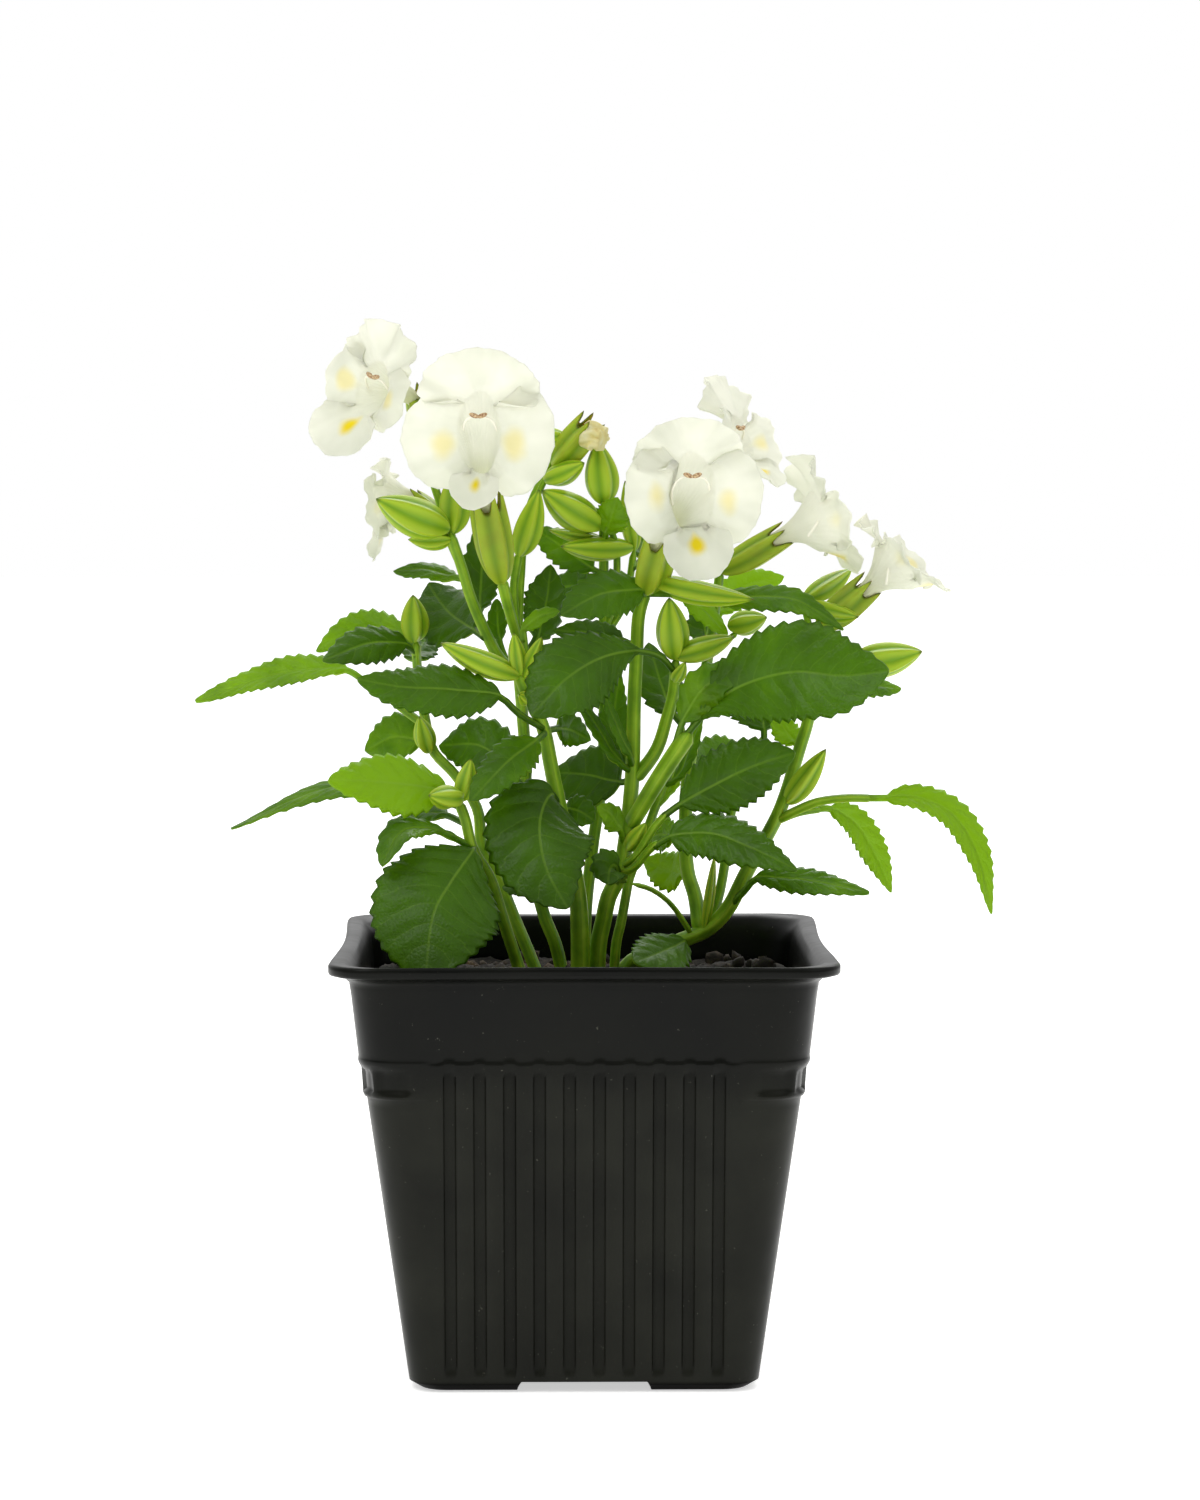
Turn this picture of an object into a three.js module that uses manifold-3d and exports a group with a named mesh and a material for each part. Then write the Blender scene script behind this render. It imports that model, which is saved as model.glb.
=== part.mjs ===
// A potted wishbone flower: eight leafy stems with white two-lipped blooms in a square black nursery pot.
// Millimetres, +Z up. The origin is the middle of the pot's base. The front of the plant faces -Y.
import * as THREE from "three";
import { mergeVertices } from "three/addons/utils/BufferGeometryUtils.js";
import Module from "manifold-3d";

const wasm = await Module();
wasm.setup();

// Pot
const LIP_HALF = 50;
const FOOT_HALF = 34.8;
const FOOT_Z = 1.8;
const SHOULDER_HALF = 42.8;
const SHOULDER_Z = 59.3;
const POT_HEIGHT = 86.3;
const WALL = 1.3;
const FLOOR = 1.2;
const NOTCH_HALF = 13;
const NOTCH_HEIGHT = 2.2;
const CHANNEL_COUNT = 10;
const CHANNEL_PITCH = 5.85;
const CHANNEL_WIDTH = 2.75;
const CHANNEL_DEPTH = 0.6;
const CHANNEL_BOTTOM = 4;
const CHANNEL_TOP = 65;
const RECESS_WIDTH = 7;
const RECESS_HEIGHT = 4.5;
const DRAIN_RADIUS = 4;
const DRAIN_OFFSET = 21;

// Soil
const SOIL_TOP = 76.5;
const SOIL_ROUGHNESS = 1.1;
const SOIL_CELLS = 8;
const GAP = 0.3;

const SMALLEST_EDGE = 0.05;

// Plant
const LEAF_THICKNESS = 0.7;
const PETAL_THICKNESS = 0.7;
const TUBE_FOOT = 0.8;
const TUBE_MOUTH = 1.4;
const TUBE_SHARE = 0.62;
const TUBE_STEP = 0.5;
const MOUTH_TURN = 0.2;
const TUBE_TURN = 0.7;
const TALL = 1.35;
const SINUS = 2.2;
const LIP_RISE = 1.2;
const LOBE_BREADTH = 0.88;
const LOBE_DEPTH = 0.6;
const LOBE_ROOT = 3;
const EDGE_LEAN = 0.5;
const TOOTH_DEPTH = 0.9;
const STALK_HALF = 0.7;
const STALK_THICKNESS = 1.3;
const ROOT_Z = 66;
const HOLE_MARGIN = 0.35;

// The plant is laid out as it is seen from the front by an eye at EYE: [x, z, depth] gives where a point shows
// on the upright plane through the pot's middle, and how far behind that plane (or, when negative, before it)
// the point lies.
const EYE = new THREE.Vector3(-7, -850, 182.9);

function seen([x, z, depth]) {
  const reach = (depth - EYE.y) / -EYE.y;
  return new THREE.Vector3(EYE.x + (x - EYE.x) * reach, depth, EYE.z + (z - EYE.z) * reach);
}

const degrees = (angle) => (angle * Math.PI) / 180;

// Materials
const plastic = new THREE.MeshStandardMaterial({ color: 0x17180f, roughness: 0.35, metalness: 0 });
const earth = new THREE.MeshStandardMaterial({ color: 0x2a2019, roughness: 0.95, metalness: 0 });
const foliage = new THREE.MeshStandardMaterial({ color: 0x3f7d1f, roughness: 0.5, metalness: 0 });
const petal = new THREE.MeshStandardMaterial({ color: 0xf4f3ea, roughness: 0.6, metalness: 0 });
const dryPetal = new THREE.MeshStandardMaterial({ color: 0xf0d9a8, roughness: 0.7, metalness: 0 });

// Closed geometry from points and triangles, turned so that its faces point out.
function closed(points, triangles) {
  let volume = 0;
  for (const [a, b, c] of triangles) {
    volume += points[a].dot(points[b].clone().cross(points[c]));
  }
  const outward = volume < 0 ? triangles.map(([a, b, c]) => [a, c, b]) : triangles;
  const geometry = new THREE.BufferGeometry();
  geometry.setAttribute(
    "position",
    new THREE.Float32BufferAttribute(points.flatMap((p) => [p.x, p.y, p.z]), 3)
  );
  geometry.setIndex(outward.flat());
  return geometry;
}

function solid(geometry) {
  const bare = geometry.clone();
  bare.deleteAttribute("normal");
  bare.deleteAttribute("uv");
  const merged = mergeVertices(bare, 1e-4);
  const mesh = new wasm.Mesh({
    numProp: 3,
    vertProperties: Float32Array.from(merged.attributes.position.array),
    triVerts: Uint32Array.from(merged.index.array),
  });
  return new wasm.Manifold(mesh);
}

// Joining leaves slivers where two skins meet, so edges finer than SMALLEST_EDGE are drawn together.
function geometryOf(manifold) {
  const mesh = manifold.asOriginal().simplify(SMALLEST_EDGE).getMesh();
  const geometry = new THREE.BufferGeometry();
  geometry.setAttribute("position", new THREE.BufferAttribute(Float32Array.from(mesh.vertProperties), 3));
  geometry.setIndex([...mesh.triVerts]);
  return geometry;
}

// A skin over rings of points with a fan at each end. A ring of one point is a tip.
function loft(rings) {
  const points = [];
  const triangles = [];
  const starts = rings.map((ring) => points.push(...ring) - ring.length);
  for (let r = 0; r + 1 < rings.length; r++) {
    const count = Math.max(rings[r].length, rings[r + 1].length);
    for (let i = 0; i < count; i++) {
      const next = (i + 1) % count;
      const [a, b] = [starts[r], starts[r + 1]];
      if (rings[r].length > 1) {
        triangles.push([a + i, a + next, rings[r + 1].length > 1 ? b + next : b]);
      }
      if (rings[r + 1].length > 1) {
        triangles.push([rings[r].length > 1 ? a + i : a, b + next, b + i]);
      }
    }
  }
  for (const end of [0, rings.length - 1]) {
    const ring = rings[end];
    if (ring.length > 1) {
      const middle = new THREE.Vector3();
      ring.forEach((p) => middle.addScaledVector(p, 1 / ring.length));
      points.push(middle);
      ring.forEach((p, i) => {
        const [near, far] = [starts[end] + i, starts[end] + ((i + 1) % ring.length)];
        triangles.push(end === 0 ? [points.length - 1, far, near] : [points.length - 1, near, far]);
      });
    }
  }
  return closed(points, triangles);
}

// Two directions square to a tangent, carried along from the ones before so that a tube doesn't twist.
function carried(tangent, side) {
  const across = side.clone().addScaledVector(tangent, -side.dot(tangent)).normalize();
  return [across, tangent.clone().cross(across)];
}

function directionAt(points, i) {
  const before = points[Math.max(i - 1, 0)];
  const after = points[Math.min(i + 1, points.length - 1)];
  return after.clone().sub(before).normalize();
}

function ringAt(centre, across, up, sides, radiusOf) {
  return Array.from({ length: sides }, (_, i) => {
    const angle = (2 * Math.PI * i) / sides;
    const radius = radiusOf(i);
    return centre
      .clone()
      .addScaledVector(across, radius * Math.cos(angle))
      .addScaledVector(up, radius * Math.sin(angle));
  });
}

// radii holds one radius for each point, or the first and the last.
function tube(points, radii, sides) {
  let side = new THREE.Vector3(0.2, -0.9, 0.4);
  const rings = points.map((point, i) => {
    const evenly = THREE.MathUtils.lerp(radii[0], radii[1], i / (points.length - 1));
    const radius = radii.length === points.length ? radii[i] : evenly;
    const [across, up] = carried(directionAt(points, i), side);
    side = across;
    return ringAt(point, across, up, sides, () => radius);
  });
  return loft(rings);
}

// Pot
function squareRing(half, corner, z, bow = 0) {
  const points = [];
  for (let quarter = 0; quarter < 4; quarter++) {
    const turn = (quarter * Math.PI) / 2;
    const flat = [new THREE.Vector2(half - bow, 0)];
    for (let step = 0; step <= 2; step++) {
      const angle = (step / 2) * (Math.PI / 2);
      flat.push(
        new THREE.Vector2(half - corner + corner * Math.cos(angle), half - corner + corner * Math.sin(angle))
      );
    }
    flat.forEach((p) => {
      p.rotateAround(new THREE.Vector2(), turn);
      points.push(new THREE.Vector3(p.x, p.y, z));
    });
  }
  return points;
}

function box(width, depth, bottom, top) {
  const block = new THREE.BoxGeometry(width, depth, top - bottom);
  block.translate(0, 0, (top + bottom) / 2);
  return solid(block);
}

// The inside of the pot, or what fills it when it is inset.
function cavity(inset) {
  const hollow = solid(
    loft([
      squareRing(32.4 - inset, 4, FLOOR + inset),
      squareRing(33.9 - inset, 5.5, 4.4),
      squareRing(42.2 - inset, 8, 64),
      squareRing(43.1 - inset, 8, 67.4),
      squareRing(44.8 - inset, 8.5, 83),
      squareRing(45.6 - inset, 8.5, 84.6, 0.4),
      squareRing(47 - inset, 9, POT_HEIGHT + 0.6, 0.9),
    ])
  );
  const rise = FLOOR + NOTCH_HEIGHT + inset;
  const width = 2 * (NOTCH_HALF + WALL + inset);
  return hollow.subtract(box(width, 100, -1, rise).add(box(100, width, -1, rise)));
}

function onEachSide(geometry) {
  return [0, 1, 2, 3].map((quarter) => solid(geometry.clone().rotateZ((quarter * Math.PI) / 2)));
}

// A groove with a rounded top, cut into the sloping front wall.
function channel(x) {
  const outline = new THREE.Shape();
  const radius = CHANNEL_WIDTH / 2;
  outline.moveTo(-radius, CHANNEL_BOTTOM);
  outline.lineTo(radius, CHANNEL_BOTTOM);
  outline.lineTo(radius, CHANNEL_TOP - radius);
  outline.lineTo(0, CHANNEL_TOP);
  outline.lineTo(-radius, CHANNEL_TOP - radius);
  const groove = new THREE.ExtrudeGeometry(outline, { depth: 4, bevelEnabled: false });
    const flare = (SHOULDER_HALF - FOOT_HALF) / (SHOULDER_Z - FOOT_Z);
  groove.rotateX(Math.PI / 2 + Math.atan(flare));
  groove.translate(x, flare * FOOT_Z - FOOT_HALF + CHANNEL_DEPTH, 0);
  return groove;
}

function cornerRecess() {
  const patch = new THREE.BoxGeometry(RECESS_WIDTH, 2, RECESS_HEIGHT);
  patch.rotateZ(Math.PI / 4);
  patch.translate(-41.45, -41.45, 63);
  return patch;
}

function pot() {
  const outside = solid(
    loft([
      squareRing(FOOT_HALF - 1.9, 5, 0),
      squareRing(FOOT_HALF, 6, FOOT_Z),
      squareRing(SHOULDER_HALF, 9, SHOULDER_Z),
      squareRing(43.5, 9, 60.2),
      squareRing(44, 9.3, 65.9),
      squareRing(44.4, 9.3, 67.2),
      squareRing(46.1, 9.5, 82.9),
      squareRing(LIP_HALF - 0.2, 9, 83.9, 1),
      squareRing(LIP_HALF, 9, POT_HEIGHT - 0.3, 1.2),
      squareRing(LIP_HALF - 0.6, 9, POT_HEIGHT, 1.2),
    ])
  );
  const notch = 2 * NOTCH_HALF;
  const cuts = [cavity(0), box(notch, 100, -1, NOTCH_HEIGHT), box(100, notch, -1, NOTCH_HEIGHT)];
  for (let i = 0; i < CHANNEL_COUNT; i++) {
    cuts.push(...onEachSide(channel((i - (CHANNEL_COUNT - 1) / 2) * CHANNEL_PITCH)));
  }
  cuts.push(...onEachSide(cornerRecess()));
  const drain = new THREE.CylinderGeometry(DRAIN_RADIUS, DRAIN_RADIUS, 4, 12);
  drain.rotateX(Math.PI / 2);
  drain.translate(DRAIN_OFFSET, DRAIN_OFFSET, 0);
  cuts.push(...onEachSide(drain));
  return outside.subtract(wasm.Manifold.union(cuts));
}

// Soil
function soilHeight(x, y) {
  const lumps = Math.sin(0.31 * x + 1.3) * Math.cos(0.27 * y) + 0.6 * Math.sin(0.61 * y - 0.23 * x + 2);
  return SOIL_TOP + SOIL_ROUGHNESS * lumps + 1.6 * Math.exp(-(x * x + y * y) / 260);
}

function soil(roots) {
  const half = 48;
  const points = [];
  const triangles = [];
  const side = SOIL_CELLS + 1;
  for (const layer of [0, 1]) {
    for (let row = 0; row < side; row++) {
      for (let column = 0; column < side; column++) {
        const x = half * ((2 * column) / SOIL_CELLS - 1);
        const y = half * ((2 * row) / SOIL_CELLS - 1);
        points.push(new THREE.Vector3(x, y, layer ? soilHeight(x, y) : -2));
      }
    }
  }
  const at = (layer, row, column) => layer * side * side + row * side + column;
  for (let row = 0; row < SOIL_CELLS; row++) {
    for (let column = 0; column < SOIL_CELLS; column++) {
      for (const layer of [0, 1]) {
        const [a, b] = [at(layer, row, column), at(layer, row, column + 1)];
        const [c, d] = [at(layer, row + 1, column), at(layer, row + 1, column + 1)];
        triangles.push(...(layer ? [[a, b, d], [a, d, c]] : [[a, d, b], [a, c, d]]));
      }
    }
  }
  for (let i = 0; i < SOIL_CELLS; i++) {
    const rim = [
      [at(0, 0, i), at(0, 0, i + 1), at(1, 0, i), at(1, 0, i + 1)],
      [at(0, SOIL_CELLS, i + 1), at(0, SOIL_CELLS, i), at(1, SOIL_CELLS, i + 1), at(1, SOIL_CELLS, i)],
      [at(0, i + 1, 0), at(0, i, 0), at(1, i + 1, 0), at(1, i, 0)],
      [at(0, i, SOIL_CELLS), at(0, i + 1, SOIL_CELLS), at(1, i, SOIL_CELLS), at(1, i + 1, SOIL_CELLS)],
    ];
    rim.forEach(([a, b, c, d]) => triangles.push([a, b, d], [a, d, c]));
  }
  const block = solid(closed(points, triangles)).intersect(cavity(GAP));
  return block.subtract(wasm.Manifold.union(roots));
}

// A leaf in one piece: a slim stalk that broadens into a toothed blade with a raised rib. width is the seen
// width, turn how far the blade's upper (or right-hand) edge leans back, and cup how far its edges come forward
// from the rib or, below 0, fall back.
function leafGeometry({ stalk, blade, width, turn = 0, cup = -0.12, teeth = 5, fullest = 0.42 }) {
  const path = [...stalk, ...blade].map(seen);
  const spine = new THREE.CatmullRomCurve3(path, false, "centripetal");
  const lengths = spine.getLengths(200);
  const shareAt = (i) => lengths[Math.round((200 * i) / (path.length - 1))] / lengths[200];
  const foot = shareAt(stalk.length);
  const half = width / 2 / Math.cos(degrees(turn));
  const middle = spine.getTangentAt((foot + 1) / 2);
  const sign = Math.abs(middle.x) > 0.25 * Math.abs(middle.z) ? Math.sign(middle.x) : -Math.sign(middle.z);
  const rise = fullest / (1 - fullest);
  const peak = fullest ** rise * (1 - fullest);
  const outline = (v) => Math.max(half * ((v ** rise * (1 - v)) / peak) ** 0.8, STALK_HALF * (1 - v));
  const points = [];
  const put = (t, side, reach, thickness) => {
    const tangent = spine.getTangentAt(t);
    const flat = new THREE.Vector3(-tangent.z, 0, tangent.x).multiplyScalar(sign).normalize();
    const back = new THREE.Vector3(0, Math.sin(degrees(turn)), 0);
    const across = flat.multiplyScalar(Math.cos(degrees(turn))).add(back);
    across.addScaledVector(tangent, -across.dot(tangent)).normalize();
    const normal = tangent.clone().cross(across).multiplyScalar(sign);
    const centre = spine
      .getPointAt(t)
      .addScaledVector(across, side * reach)
      .addScaledVector(normal, cup * reach);
    for (const face of [-1, 1]) {
      points.push(centre.clone().addScaledVector(normal, (face * thickness) / 2));
    }
    return points.length - 2;
  };
  const along = (v) => foot + (1 - foot) * v;
  const rib = stalk.map((_, i) => put(shareAt(i), 0, 0, STALK_THICKNESS));
  const edges = [-1, 1].map((side) => stalk.map((_, i) => put(shareAt(i), side, STALK_HALF, LEAF_THICKNESS)));
  for (let k = 0; k <= teeth; k++) {
    rib.push(put(along(k / teeth), 0, 0, THREE.MathUtils.lerp(STALK_THICKNESS, LEAF_THICKNESS, k / teeth)));
  }
  edges.forEach((edge, i) => {
    const side = 2 * i - 1;
    for (let k = 0; k < teeth; k++) {
      const [notch, tip] = [k / teeth, (k + 0.7) / teeth];
      edge.push(put(along(notch), side, Math.max(outline(notch) - TOOTH_DEPTH, STALK_HALF), LEAF_THICKNESS));
      edge.push(put(along(tip), side, outline(tip), LEAF_THICKNESS));
    }
    edge.push(rib[rib.length - 1]);
  });
  const triangles = [];
  edges.forEach((edge, i) => {
    const onBothFaces = (a, b, c) => {
      const [second, third] = i === 1 ? [b, c] : [c, b];
      triangles.push([a, second, third], [a + 1, third + 1, second + 1]);
    };
    for (let k = 0; k < stalk.length; k++) {
      onBothFaces(rib[k], edge[k], edge[k + 1]);
      onBothFaces(rib[k], edge[k + 1], rib[k + 1]);
    }
    for (let k = 0; k < teeth; k++) {
      const [near, far] = [rib[stalk.length + k], rib[stalk.length + k + 1]];
      const [notch, tip, next] = edge.slice(stalk.length + 2 * k, stalk.length + 2 * k + 3);
      onBothFaces(near, notch, tip);
      onBothFaces(near, tip, far);
      if (k < teeth - 1) {
        onBothFaces(far, tip, next);
      }
    }
    const rim = [rib[0], ...edge];
    for (let k = 0; k + 1 < rim.length; k++) {
      const [a, b] = i === 1 ? [rim[k], rim[k + 1]] : [rim[k + 1], rim[k]];
      triangles.push([a, a + 1, b + 1], [a, b + 1, b]);
    }
  });
  return closed(points, triangles);
}

// A calyx of five ridges. A bud closes to a point; a cup that holds a bloom ends in five short teeth.
const BUD = [[0.12, 0.62], [0.45, 1], [0.78, 0.6]];
const CUP = [[0.14, 0.7], [0.55, 1], [1, 0.82]];
const FINE_WIDTH = 6.2;

function calyx(base, tip, width, isCup = false) {
  const [from, to] = [seen(base), seen(tip)];
  const along = to.clone().sub(from);
  const [across, up] = carried(along.clone().normalize(), new THREE.Vector3(0.3, -0.8, 0.5));
  const fine = isCup || width > FINE_WIDTH;
  const rings = (isCup ? CUP : BUD).map(([t, share]) =>
    ringAt(from.clone().addScaledVector(along, t), across, up, fine ? 10 : 5, (i) => {
      return (width / 2) * share * (fine && i % 2 === 1 ? 0.74 : 1);
    })
  );
  if (isCup) {
    rings[rings.length - 1].forEach((p, i) => p.addScaledVector(along, i % 2 === 0 ? 0.12 : -0.06));
  } else {
    rings.push([to]);
  }
  return loft([[from], ...rings]);
}

// How far from the bloom's middle a lobe's rim lies at an angle turn from the lobe's own middle line: the rim
// is an ellipse of half width breadth whose far end lies at the lobe's reach.
function rimAt({ reach, half, breadth = LOBE_BREADTH * reach * Math.sin(degrees(half)) }, turn) {
  const depth = Math.min(LOBE_DEPTH * (reach - LOBE_ROOT), breadth);
  const [along, aside] = [Math.cos(turn) / depth, Math.sin(turn) / breadth];
  const off = (reach - depth) / depth;
  const square = along ** 2 + aside ** 2;
  const inside = (along * off) ** 2 - square * (off ** 2 - 1);
  return inside > 0 ? (along * off + Math.sqrt(inside)) / square : 0;
}

// A bloom: a curved trumpet that opens into lobes. Each lobe covers the angles at-half to at+half, seen from
// the front of the bloom with 0 to its right and 90 up, and reaches that far from the middle; lean bends it
// forward. The throat is tall times as high as it is wide.
function bloom({ seat, mouth, throat, yaw, pitch, roll = 0, open, tall = TALL, lobes }) {
  const facing = new THREE.Vector3(
    Math.sin(degrees(yaw)) * Math.cos(degrees(pitch)),
    -Math.cos(degrees(yaw)) * Math.cos(degrees(pitch)),
    Math.sin(degrees(pitch))
  );
  const level = new THREE.Vector3(0, 0, 1).cross(facing).normalize();
  const right = level.applyAxisAngle(facing, degrees(roll));
  const up = facing.clone().cross(right);
  const columns = lobes.flatMap((lobe) =>
    Array.from({ length: lobe.steps }, (_, step) => {
      const spread = (2 * step) / lobe.steps - 1;
      const turn = degrees(spread * lobe.half);
      const way = turn + degrees(lobe.at);
      const round = Math.atan2(Math.sin(way) / tall, Math.cos(way));
      const base = Math.hypot(open * Math.cos(round), open * tall * Math.sin(round));
      const reach = Math.max(step === 0 ? 0 : rimAt(lobe, turn), base + SINUS);
      return { way, round, base, reach, lean: lobe.lean * (1 - EDGE_LEAN * spread ** 2) };
    })
  );
  const [start, middle, end] = [seat, mouth, throat].map(seen);
  const rings = [
    { centre: middle, radius: TUBE_MOUTH, blend: MOUTH_TURN, oval: 1 },
    {
      centre: middle.clone().lerp(end, TUBE_STEP),
      radius: open * TUBE_SHARE,
      blend: TUBE_TURN,
      oval: (tall + 1) / 2,
    },
    { centre: end, radius: open, blend: 1, oval: tall },
  ];
  const tubeAcross = end.clone().sub(start).normalize();
  const inner = rings.map(({ centre, radius, blend, oval }) => {
    const axis = tubeAcross.clone().lerp(facing, blend).normalize();
    const [side, rise] = carried(axis, right);
    return columns.map(({ round }) =>
      centre
        .clone()
        .addScaledVector(side, radius * Math.cos(round))
        .addScaledVector(rise, radius * oval * Math.sin(round))
    );
  });
  for (const share of [0.5, 1]) {
    inner.push(
      columns.map(({ way, base, reach, lean }) => {
        const past = (reach - base) * share;
        return end
          .clone()
          .addScaledVector(right, (base + past) * Math.cos(way))
          .addScaledVector(up, (base + past) * Math.sin(way))
          .addScaledVector(facing, LIP_RISE * Math.sin(Math.PI * share * 0.5) + lean * past * share);
      })
    );
  }
  return sheet(inner, start);
}

// A sheet of even thickness, closed at its first ring, with its back offset from its front.
function sheet(rings, start) {
  const count = rings[0].length;
  const front = rings.flat();
  const faces = [];
  for (let r = 0; r + 1 < rings.length; r++) {
    for (let i = 0; i < count; i++) {
      const next = (i + 1) % count;
      const [a, b, c, d] = [r * count + i, r * count + next, (r + 1) * count + i, (r + 1) * count + next];
      faces.push([a, b, d], [a, d, c]);
    }
  }
  front.push(start.clone());
  const foot = front.length - 1;
  for (let i = 0; i < count; i++) {
    faces.push([foot, (i + 1) % count, i]);
  }
  const skin = new THREE.BufferGeometry();
  skin.setAttribute("position", new THREE.Float32BufferAttribute(front.flatMap((p) => [p.x, p.y, p.z]), 3));
  skin.setIndex(faces.flat());
  skin.computeVertexNormals();
  const normal = skin.getAttribute("normal");
  const back = front.map((p, i) => {
    const away = new THREE.Vector3().fromBufferAttribute(normal, i);
    return p.clone().addScaledVector(away, PETAL_THICKNESS);
  });
  const shift = front.length;
  const triangles = [...faces, ...faces.map(([a, b, c]) => [a + shift, c + shift, b + shift])];
  const rim = (rings.length - 1) * count;
  for (let i = 0; i < count; i++) {
    const [a, b] = [rim + i, rim + ((i + 1) % count)];
    triangles.push([a, b, b + shift], [a, b + shift, a + shift]);
  }
  return closed([...front, ...back], triangles);
}

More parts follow.
